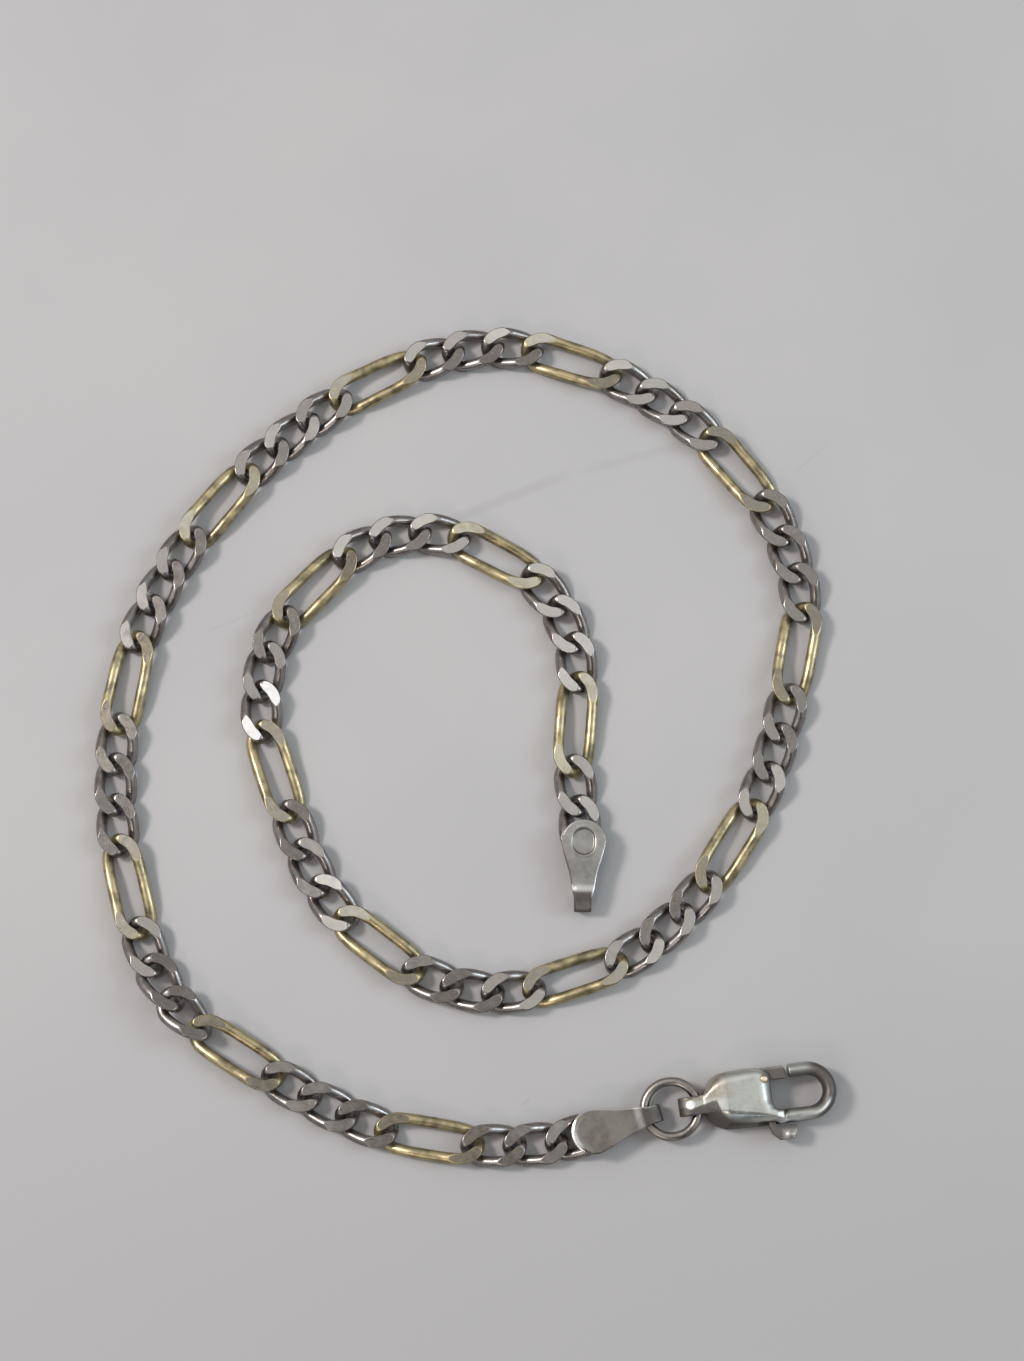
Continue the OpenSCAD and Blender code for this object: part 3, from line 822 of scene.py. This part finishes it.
def bend_fall(x):
    """How much lower the strip's top is than a round fold's."""
    beyond = np.clip((x - EYE_X + BEND_BEFORE) / BEND_LENGTH, 0, 1)
    over_eye = np.clip(x - EYE_X, 0, EYE_OUTER)
    fall = EYE_OUTER * (1 - np.sqrt(1 - beyond ** 2))
    round_fall = EYE_OUTER - np.sqrt(np.clip(EYE_OUTER ** 2 - over_eye ** 2, 0, 1))
    return np.clip(fall - round_fall, 0, 1)


def tag_skin(inner):
    """Plate and folded strip of a tag as one skin, with its dip, its recess or raised rim, and
    its bend."""
    p, faces = melted(0.034, 9, [prism(tag_outline(), PLATE_LOW, PLATE_TOP), strip_loop(), fold_foot()])
    # these are views, so what lowers z lowers the points
    x, y, z = p.T
    top = ramp(z, PLATE_LOW + 0.2, PLATE_TOP - 0.05)
    z -= DIP_DEEP * bell(x, DIP_X, DIP_HALF) * top
    if inner:
        out = oval_out(x, y)
        z -= 0.8 * OVAL_DEEP * fade(out, -0.07, 0.05) * top
        z += LIP_HIGH * bell(out, LIP_OUT, LIP_HALF) * top
    else:
        rim = bell(np.hypot(x - TAG_MIDDLE, y), RIM_R, RIM_HALF)
        z += RIM_HIGH * rim * top * ramp(TAG_MIDDLE - x, 0.2, 0.8)
    z -= bend_fall(x) * ramp(z, EYE_OUTER, PLATE_TOP)
    return p, faces


def drawn_in(p):
    """Points of a tag with its sides drawn in a little between the round end and the strip."""
    x, y, z = p.T
    share = WAIST_SHARE * bell(x, WAIST_X, WAIST_HALF) * ramp(z, PLATE_LOW - 0.2, PLATE_LOW)
    return np.stack([x, y * (1 - share), z], 1)


def tag_painted_shade(p, inner):
    """Painted shade of a tag: it grows towards the bend, stops on the bend, is dark round the fold and
    underneath, and on the inner tag lies in and round the oval and along the rim of its -y side.
    """
    x, y, z = p.T
    bend = EYE_X - 0.75
    plate = ramp(x, TAG_MIDDLE, bend - 1.1) * fade(x, bend - 0.05, bend + 0.1)
    fold = ramp(x, EYE_X - 0.48, EYE_X - 0.3)
    below = 0.6 * fade(z, PLATE_LOW - 0.1, PLATE_LOW + 0.15)
    if not inner:
        return np.clip(0.2 * plate + 0.95 * fold + below, 0, 1)
    fold *= 0.9 - 0.5 * ramp(x, EYE_X - 0.2, EYE_X + 0.5)
    out = oval_out(x, y)
    recess = 0.25 * fade(out, -0.1, 0.02) + 0.45 * bell(out, -0.01, 0.06)
    left_rim = 0.7 * tag_rim(x, y) * (y < 0) * ramp(x, TAG_MIDDLE - 0.5, TAG_MIDDLE - 0.2)
    return np.clip(0.35 * plate + fold + below + recess + left_rim, 0, 1)


def tag_painted_highlights(p, inner):
    """Painted highlights on a tag: its rim, its bend, and a spot there on the inner tag or its round end on
    the outer.
    """
    x, y, z = p.T
    rim = ramp(z, PLATE_LOW + 0.1, PLATE_LOW + 0.25) * tag_rim(x, y)
    bend = 0.35 * ramp(x, EYE_X - 0.9, EYE_X - 0.62) * fade(x, EYE_X - 0.56, EYE_X - 0.38)
    if inner:
        right = 0.6 * rim * (y > 0) * fade(x, EYE_X - 0.3, EYE_X)
        right *= ramp(x, TAG_MIDDLE + 0.1, TAG_MIDDLE + 0.6)
        left = 0.7 * rim * (y < 0) * fade(x, TAG_MIDDLE - 0.6, TAG_MIDDLE - 0.4)
        spot = fade(np.hypot(x - EYE_X + 0.58, y + 0.44), 0.04, 0.13)
        return np.clip(right + left + spot + bend, 0, 1)
    inset = TAG_WIDTH / 2 - np.hypot(x - TAG_MIDDLE, y - 0.1)
    end = 0.85 * fade(inset, 0.12, 0.34) * fade(x, TAG_START + 0.2, TAG_START + 0.55)
    end *= ramp(z, PLATE_LOW, PLATE_LOW + 0.2)
    return np.clip(end + 0.35 * rim * (y > 0) + bend, 0, 1)


def build_tag(name, inner, slot, materials):
    """A tag's plate and its soldered link as one piece."""
    local, faces = tag_skin(inner)
    plate = local
    if inner:
        eye = np.array([EYE_X, 0, 0])
        plate = turned(local - eye, -PLATE_TURN, eye)
    link = SHORT_LINK[0] + (SHORT_PITCH / 2, 0, HALF_THICK)
    data = join_links([(0 if inner else LINKS - 1, SHORT_LINK, at_tag(link, inner))])
    n = len(data["points"])
    points, faces = joined([(data["points"], data["faces"]), (at_tag(drawn_in(plate), inner), faces)])
    obj = new_mesh(name, points, faces, materials)
    # painted shade on the soldered link where it meets the plate
    link_painted_shade = np.maximum(data["tarnish_and_shade"], 0.9 * ramp(link[:, 0], 1.1, 1.5))
    data["tarnish_and_shade"] = np.concatenate([link_painted_shade, tag_painted_shade(local, inner)])
    dress_links(obj, data, np.zeros(n))
    # painted highlights on the plate
    add_values(obj, "painted_highlight", np.concatenate([np.zeros(n), tag_painted_highlights(local, inner)]))
    for poly in obj.data.polygons[len(data["faces"]):]:
        poly.material_index = 2
    hand_in(obj, "bracelet", slot)


# jump ring
def build_ring(material):
    """Jump ring: a slightly uneven round wire that leans from the tag's eye to the clasp's."""
    low, high = EYE_OUTER, CLASP_EYE_Z
    tilt = -asin((high - low) / 2 / RING_R)
    rings = []
    for a in around(96):
        r = RING_WIRE / 2 * (1 - 0.02 * cos(3 * a + 1))
        ring = []
        for b in around(20):
            d = RING_R + r * cos(b)
            x, y, z = d * cos(a), d * sin(a), r * sin(b)
            ring.append((x * cos(tilt) + z * sin(tilt), y, z * cos(tilt) - x * sin(tilt)))
        rings.append(ring)
    points, faces = loft(rings, closed=True)
    middle = ring_middle() + (0, 0, (low + high) / 2)
    obj = new_mesh("jump_ring_wire", turned(points, CLASP_HEADING, middle), faces, [material])
    add_values(obj, "tarnish_and_shade", np.zeros(len(points)))
    obj.data.shade_smooth()
    hand_in(obj, "bracelet", "ring_silver")


# clasp
# the body seen from above: share of the clasp's length and of its half width
BODY_OUTLINE = [(0.04, -0.32), (0.065, -0.55), (0.12, -0.81), (0.19, -0.94), (0.35, -0.98),
                (0.6, -1), (0.6, -0.52), (0.555, -0.5), (0.535, -0.4), (0.53, -0.13),
                (0.53, 0.13), (0.535, 0.47), (0.53, 0.7), (0.51, 0.88), (0.465, 0.98),
                (0.42, 1.02), (0.29, 1.03), (0.17, 0.98), (0.115, 0.84), (0.065, 0.52),
                (0.04, 0.32)]
# the body's form: place along the clasp, and the height of its top and its underside, the half
# width of its flat top on the two sides, and its own half width
BODY_TOP = [(-0.7, 1.5), (0, 1.56), (0.8, 1.68), (1.6, 1.8), (3.6, 1.8), (4.1, 1.76), (4.5, 1.62),
            (5.2, 1.45), (7.6, 1.45)]
BODY_LOW = [(-0.7, 0.34), (0, 0.34), (0.49, 0.2), (0.9, 0.0), (4.5, 0.0), (5.25, 0.35), (7.6, 0.35)]
UPPER_FLAT = [(0, 0.1), (0.6, 0.5), (1.2, 0.85), (2.0, 1.0), (4.0, 1.1)]
LOWER_FLAT = [(0.3, 0.12), (1.5, 0.5), (3.67, 1.0), (4.3, 1.25)]
BODY_HALF = [(0.3, 0.55), (0.5, 0.86), (0.9, 1.3), (1.4, 1.5), (4.0, 1.58)]
# how deep the upper side rolls down along the clasp, and how deep the top rolls to the mouth
UPPER_FALL = [(0.3, 0.6), (1.5, 0.32)]
MOUTH_ROLL, MOUTH_ROLL_LENGTH = 0.34, 0.7
# the mouth's edge: place across the clasp and along it
MOUTH = [(-0.9, 4.3), (-0.2, 3.98), (0.7, 4.0), (1.1, 3.98), (1.36, 3.83), (1.52, 3.49)]
# the shadowed shoulder: place along the clasp, its edge across it, its softness, its darkness
SHOULDER_EDGE = [(-0.24, -0.08), (1.0, 0.22), (1.2, -0.35), (1.5, -0.7), (1.94, -0.95), (3.81, -1.3),
                 (4.3, -1.4)]
SHOULDER_SOFT = [(0.8, 0.12), (1.2, 0.45), (2.0, 0.3)]
SHOULDER_DARK = [(0, 0.95), (1.3, 0.9), (2.0, 0.8), (3.7, 0.6)]
# the painted highlight along the hook: place along the clasp, its way out from the wire's middle, and
# its half width
HOOK_LINE = [(4.2, 0.25), (5.6, 0.14), (6.9, 0.05)]
HOOK_LINE_HALF = [(4.2, 0.16), (4.7, 0.1), (6.9, 0.08)]
# the rivet and its domed head: radius and height, from its foot to its top
RIVET = [(RIVET_R, 0.2), (0.21, 1.66), (0.21, 1.76), (0.19, 1.79), (0.15, 1.81), (0.1, 1.825), (0.04, 1.83)]


def eye_profile(r):
    """Drawn-out round of the clasp's eye, seen from the side."""
    half = np.linspace(-pi / 2, pi / 2, 20)
    return ([(-r * cos(a) - NECK_DRAW, CLASP_EYE_Z - r * sin(a)) for a in half]
            + [(r * cos(a), CLASP_EYE_Z + r * sin(a)) for a in half])


def hook_path():
    """Middle line of the hook, from inside the body round to its tip."""
    r, mid = HOOK_LINE_R, CLASP_MID_Z
    half_turn = np.linspace(-pi / 2, pi / 2, 36)
    path = [(x, -r, mid) for x in np.linspace(HOOK_START, HOOK_X - 0.1, 8)]
    path += [(HOOK_X + r * cos(a), r * sin(a), mid) for a in half_turn]
    return path + [(x, r, mid) for x in np.linspace(HOOK_X - 0.08, TIP_X, 6)]


def opened(x, y):
    """A point of the lever, about the rivet, when the lever is fully open."""
    c, s = cos(radians(LEVER_OPEN)), sin(radians(LEVER_OPEN))
    return x * c + y * s, y * c - x * s


def slot_outline():
    """Room for the lever and its swing."""
    far, stem = 4.1, 0.23
    plan = [opened(-stem - GAP, 0), opened(-stem - GAP, -far), (stem + 2.5 * GAP, -far),
            (stem + 2.5 * GAP, -1.26), (LEVER_REACH - GAP, -0.9), (LEVER_REACH - GAP, 1.6), (-0.27, 1.6)]
    return [(PIVOT_X + x, PIVOT_Y + y) for x, y in plan]


def clasp_heights(x, y):
    """Lowest and highest point of the body at a place seen from above: a top that rolls softly
    down to its upper rim and to the mouth, and a steeper shoulder on the other side."""
    flat = np.where(y > 0, follow(x, UPPER_FLAT), follow(x, LOWER_FLAT))
    edge = np.clip((np.abs(y) - flat) / (follow(x, BODY_HALF) - flat), 0, 1.1)
    shoulder = (0.8 - 0.35 * ramp(x, 3.9, 4.6)) * edge ** 1.4
    fall = np.where(y > 0, follow(x, UPPER_FALL) * edge ** 2, shoulder)
    roll = np.clip((x - follow(y, MOUTH) + MOUTH_ROLL_LENGTH) / MOUTH_ROLL_LENGTH, 0, 1.1)
    roll *= ramp(y, -1.0, -0.6)
    return follow(x, BODY_LOW), follow(x, BODY_TOP) - fall - MOUTH_ROLL * roll ** 2


def clasp_skin():
    """Body, neck, eye and hook as one skin, with the slot for the lever."""
    body = prism([(x * CLASP_L, y * CLASP_HALF) for x, y in BODY_OUTLINE], 0.0, CLASP_T)
    # the body alone takes the faceted pillow form; hook and eye stay as they are
    points, faces = melted(0.045, 4, [body])
    low, high = clasp_heights(points[:, 0], points[:, 1])
    points[:, 2] = low + (high - low) * np.clip(points[:, 2] / CLASP_T, 0, 1)
    neck = bar(-0.1, 0.9, NECK_HALF, NECK_LOW, NECK_HIGH)
    slot_low, slot_high = CLASP_MID_Z - SLOT_HALF, CLASP_MID_Z + SLOT_HALF
    solids = [(points, faces), tube(hook_path(), HOOK_W / 2, HOOK_T / 2, 24), neck,
              lying_slab(eye_profile(NECK_R), NECK_HALF)]
    cuts = [prism(slot_outline(), slot_low, slot_high),
            prism(circle(PIVOT_X, PIVOT_Y, HUB_R + GAP), slot_low, slot_high),
            lying_slab(eye_profile(EYE_R), 1.6)]
    return melted(0.04, 9, solids, cuts)


def clasp_painted_shade(p):
    """Painted shade: the slot, the mouth, the neck, the eye, the underside, the hook's round, less on its
    top end and along its arm, and the lower shoulder.
    """
    x, y, z = p.T
    slot = ramp(x, 3.0, 3.5) * fade(np.abs(z - CLASP_MID_Z), 0.42, 0.6) * fade(x, 4.4, 4.9)
    mouth = 0.65 * ramp(x, 3.3, 3.85) * ramp(y, -0.8, -0.4) * fade(x, 4.4, 4.6)
    beside = np.maximum(np.abs(x + NECK_DRAW / 2) - NECK_DRAW / 2, 0)
    eye = fade(np.hypot(beside, z - CLASP_EYE_Z), 0.45, 0.6)
    neck = 0.75 * np.maximum(fade(x, -0.35, -0.15), fade(x, 0.0, 0.3) * ramp(np.abs(y), 0.3, 0.45))
    under = 0.5 * fade(z, 0.1, 0.6)
    round_end = 0.2 * ramp(x, HOOK_X - 0.2, HOOK_X + 0.6)
    top_end = 0.3 * ramp(y, 0.8, 1.1) * fade(x, HOOK_X, HOOK_X + 0.8)
    arm = 0.35 * fade(y, -1.0, -0.7) * fade(x, 5.9, 6.9) * ramp(z, 0.9, 1.3)
    hook = (0.72 + round_end - top_end - arm) * ramp(x, 4.0, 4.2)
    soft = follow(x, SHOULDER_SOFT)
    shoulder = follow(x, SHOULDER_DARK) * ramp(follow(x, SHOULDER_EDGE) - y, -0.5 * soft, soft)
    shoulder *= fade(x, 3.9, 4.1)
    return np.clip(slot + mouth + eye + neck + under + hook + shoulder, 0, 1)


def clasp_warmth(p):
    """Beige cast on the upper half next to the neck, and on the rivet."""
    x, y, _ = p.T
    rivet = fade(np.hypot(x - PIVOT_X, y - PIVOT_Y), RIVET_R + 0.02, RIVET_R + 0.1)
    return np.clip(0.7 * ramp(y, 0.1, 0.4) * fade(x, 0.9, 2.2) + rivet, 0, 1)


def clasp_painted_highlights(p):
    """Painted highlights on the clasp: a spot on the neck, the rivet, a line along the hook."""
    x, y, z = p.T
    spot = fade(np.hypot(x + 0.4, y - 0.07), 0.17, 0.29)
    rivet = 0.9 * fade(np.hypot(x - PIVOT_X - 0.02, y - PIVOT_Y + 0.03), 0.08, 0.19)
    outward = np.where(x < HOOK_X, -y, np.hypot(x - HOOK_X, y)) - HOOK_LINE_R
    reach = ramp(x, 4.0, 4.2) * fade(np.arctan2(y, x - HOOK_X), -0.8, -0.3) * (y < 0)
    line = bell(outward, follow(x, HOOK_LINE), follow(x, HOOK_LINE_HALF)) * reach
    return np.clip((spot + rivet + line) * ramp(z, 1.0, 1.3), 0, 1)


def build_clasp(material):
    """The clasp's casting with its rivet as one piece."""
    rivet = loft([[(x, y, z) for x, y in circle(PIVOT_X, PIVOT_Y, r, 24)] for r, z in RIVET])
    points, faces = joined([clasp_skin(), rivet])
    points = np.array(points)
    obj = new_mesh("clasp_casting", at_clasp(points), faces, [material])
    add_values(obj, "tarnish_and_shade", clasp_painted_shade(points))
    add_values(obj, "warm", clasp_warmth(points))
    add_values(obj, "painted_highlight", clasp_painted_highlights(points))
    obj.data.shade_smooth()
    hand_in(obj, "bracelet", "clasp_silver")


# lever, in millimetres about the rivet
STEM_END = PIVOT_Y + CLASP_HALF + GAP
TAB_END = PIVOT_Y + CLASP_HALF + 0.85
TAB_LENGTH = 1.42
GATE_SIDE, GATE_WIDE = CLASP_HALF - PIVOT_Y - 0.05, 0.7
# middle and half sizes of the knob at the tab's tip
KNOB, KNOB_HALF = (1.02, -3.05, 0.9), (0.4, 0.3, 0.38)


def gate_outline():
    """The bar that closes the hook; its end is an arc about the rivet."""
    low, high = (asin(y / LEVER_REACH) for y in (GATE_SIDE - GATE_WIDE, GATE_SIDE))
    end = [(LEVER_REACH * cos(a), LEVER_REACH * sin(a)) for a in np.linspace(low, high, 8)]
    return [(-0.15, GATE_SIDE - GATE_WIDE)] + end + [(-0.15, GATE_SIDE)]


def stem_outline():
    """Stem and thumb tab."""
    tab_half = (STEM_END + TAB_END) / 2
    return [(-0.23, 0), (0, -STEM_END), (0.07 * TAB_LENGTH, -tab_half), (0.35 * TAB_LENGTH, -TAB_END),
            (0.85 * TAB_LENGTH, -TAB_END), (TAB_LENGTH, -tab_half), (TAB_LENGTH, -STEM_END),
            (0.35, -STEM_END), (0.23, 0)]


def knob():
    """Rounded tip of the thumb tab."""
    (x, y, z), (half_x, half_y, half_z) = KNOB, KNOB_HALF
    return loft([[(x + half_x * sin(a) * cos(b), y + half_y * cos(a),
                   z + half_z * sin(a) * sin(b)) for b in around(24)]
                 for a in np.linspace(0.001, pi - 0.001, 14)])


def build_lever(material):
    """The clasp's lever as one piece: hub, gate, stem, tab and knob."""
    low, high = CLASP_MID_Z - LEVER_HALF, CLASP_MID_Z + LEVER_HALF
    solids = [prism(outline, low, high) for outline in (circle(0, 0, HUB_R), gate_outline(), stem_outline())]
    hole = prism(circle(0, 0, RIVET_R + LEVER_PLAY), low - 1, high + 1)
    points, faces = melted(0.032, 6, solids + [knob()], [hole])
    obj = new_mesh("lever_casting", at_clasp(points + (PIVOT_X, PIVOT_Y, 0)), faces, [material])
    # painted shade over the lever where the body shades it, on all but the knob, and less of it along the
    # gate's upper edge, which is painted lit
    foot = np.maximum(fade(points[:, 0], 0.5, 0.8), ramp(points[:, 1], -2.95, -2.65))
    add_values(obj, "tarnish_and_shade", 0.2 + 0.6 * foot - 0.4 * ramp(points[:, 1], GATE_SIDE - 0.2, GATE_SIDE))
    obj.data.shade_smooth()
    hand_in(obj, "lever", "lever_silver")


# stage, light and camera; the lights are name, azimuth from +X towards +Y and elevation in
# degrees, distance and size in metres, power in watts, colour
LIGHTS = [("key", 165, 47, 0.5, 0.11, 1.6, (1.0, 0.95, 0.92)),
          ("cool", 5, 34, 0.5, 0.22, 0.75, (0.7, 0.88, 1.0)),
          ("warm_spark", 243, 38, 0.5, 0.12, 0.28, (1.0, 0.86, 0.76)),
          ("low_cool", 268, 22, 0.5, 0.12, 0.07, (0.72, 0.87, 1.0))]
# millimetres from the middle of the table to its edge
TABLE_HALF = 400
# place in millimetres, tilt from straight down in degrees, focal length and frame in millimetres
CAMERA_PLACE, CAMERA_TILT, LENS, SENSOR = (2.75, -24.91, 144.44), 11, 70.1, 36


def build_floor():
    """The table's top."""
    corners = [(x * TABLE_HALF, y * TABLE_HALF, 0) for x, y in ((-1, -1), (1, -1), (1, 1), (-1, 1))]
    new_mesh("table_top", corners, [(0, 1, 2, 3)], [floor_material()])


def area_light(name, azimuth, elevation, distance, size, power, colour):
    """A soft light that looks at the middle."""
    data = bpy.data.lights.new(name, "AREA")
    data.shape = "DISK"
    data.size, data.energy, data.color = size, power, colour
    obj = new_object(name, data)
    a, e = radians(azimuth), radians(elevation)
    obj.location = [distance * v for v in (cos(e) * cos(a), cos(e) * sin(a), sin(e))]
    obj.rotation_euler = (-Vector(obj.location)).to_track_quat("-Z", "Y").to_euler()


def build_world():
    """Pale room: bright overhead, dimmer low down, dark towards whoever stands at the table."""
    world = bpy.data.worlds.new("room")
    bpy.context.scene.world = world
    world.use_nodes = True
    n = Nodes(world.node_tree)
    back = n.add("ShaderNodeBackground")
    n.add("ShaderNodeOutputWorld", back.outputs[0])
    x, y, z = n.split(n.add("ShaderNodeTexCoord").outputs["Generated"])
    high = n.math("MAXIMUM", z, 0.05)
    across, away = n.math("DIVIDE", x, high), n.math("DIVIDE", y, high)
    # the dark shape is a wedge that widens towards the viewer
    nearer = n.math("MAXIMUM", n.math("MULTIPLY", away, -1.0), 0.0)
    half_width = n.math("ADD", n.math("MULTIPLY", nearer, 0.7), 0.09)
    beside = n.math("ABSOLUTE", n.math("ADD", across, 0.02))
    inside = n.step(n.math("DIVIDE", beside, half_width), 1.3, 0.8, 0, 1)
    shade = n.math("MULTIPLY", inside, n.step(away, 0.12, -0.02, 0, 1))
    open_share = n.math("SUBTRACT", 1.0, n.math("MULTIPLY", shade, 0.88))
    n.link(n.math("MULTIPLY", n.step(z, 0.0, 0.9, 0.3, 0.9), open_share), back.inputs["Strength"])
    back.inputs["Color"].default_value = (0.985, 0.998, 0.99, 1)


def build_camera():
    """Camera at the photograph's angle."""
    data = bpy.data.cameras.new("camera")
    data.lens, data.sensor_width, data.sensor_fit = LENS, SENSOR, "AUTO"
    data.clip_start, data.clip_end = 0.005, 5
    obj = new_object("camera", data)
    obj.location = [v * MM for v in CAMERA_PLACE]
    obj.rotation_euler = (radians(CAMERA_TILT), 0, 0)
    bpy.context.scene.camera = obj


build_camera()
build_world()
build_floor()
for light in LIGHTS:
    area_light(*light)

LINK_METALS = [wire_material(), flat_material()]
LOOSE = range(1, LINKS - 1)
build_chain("short_link_run", [i for i in LOOSE if not is_long(i)], "short_link_silver", LINK_METALS)
build_chain("long_link_run", [i for i in LOOSE if is_long(i)], "long_link_gilt", LINK_METALS)
INNER_METAL = plate_material("inner_plate", rgb(173, 170, 167), rgb(154, 151, 147), (0.24, 0.36), 0.3)
OUTER_METAL = plate_material("outer_plate", rgb(147, 140, 133), rgb(129, 122, 115), (0.24, 0.36), 0.3)
build_tag("inner_tag", True, "inner_tag_silver", LINK_METALS + [INNER_METAL])
build_tag("outer_tag", False, "outer_tag_silver", LINK_METALS + [OUTER_METAL])
build_ring(plate_material("ring_wire", rgb(156, 149, 143), rgb(128, 120, 114), (0.26, 0.38)))
build_clasp(plate_material("clasp_cast", rgb(207, 208, 202), rgb(196, 196, 189), (0.27, 0.38), 0.2))
build_lever(plate_material("lever_cast", rgb(176, 172, 168), rgb(142, 136, 131), (0.36, 0.46)))

bpy.context.scene.view_settings.view_transform = "Standard"
bpy.context.view_layer.update()
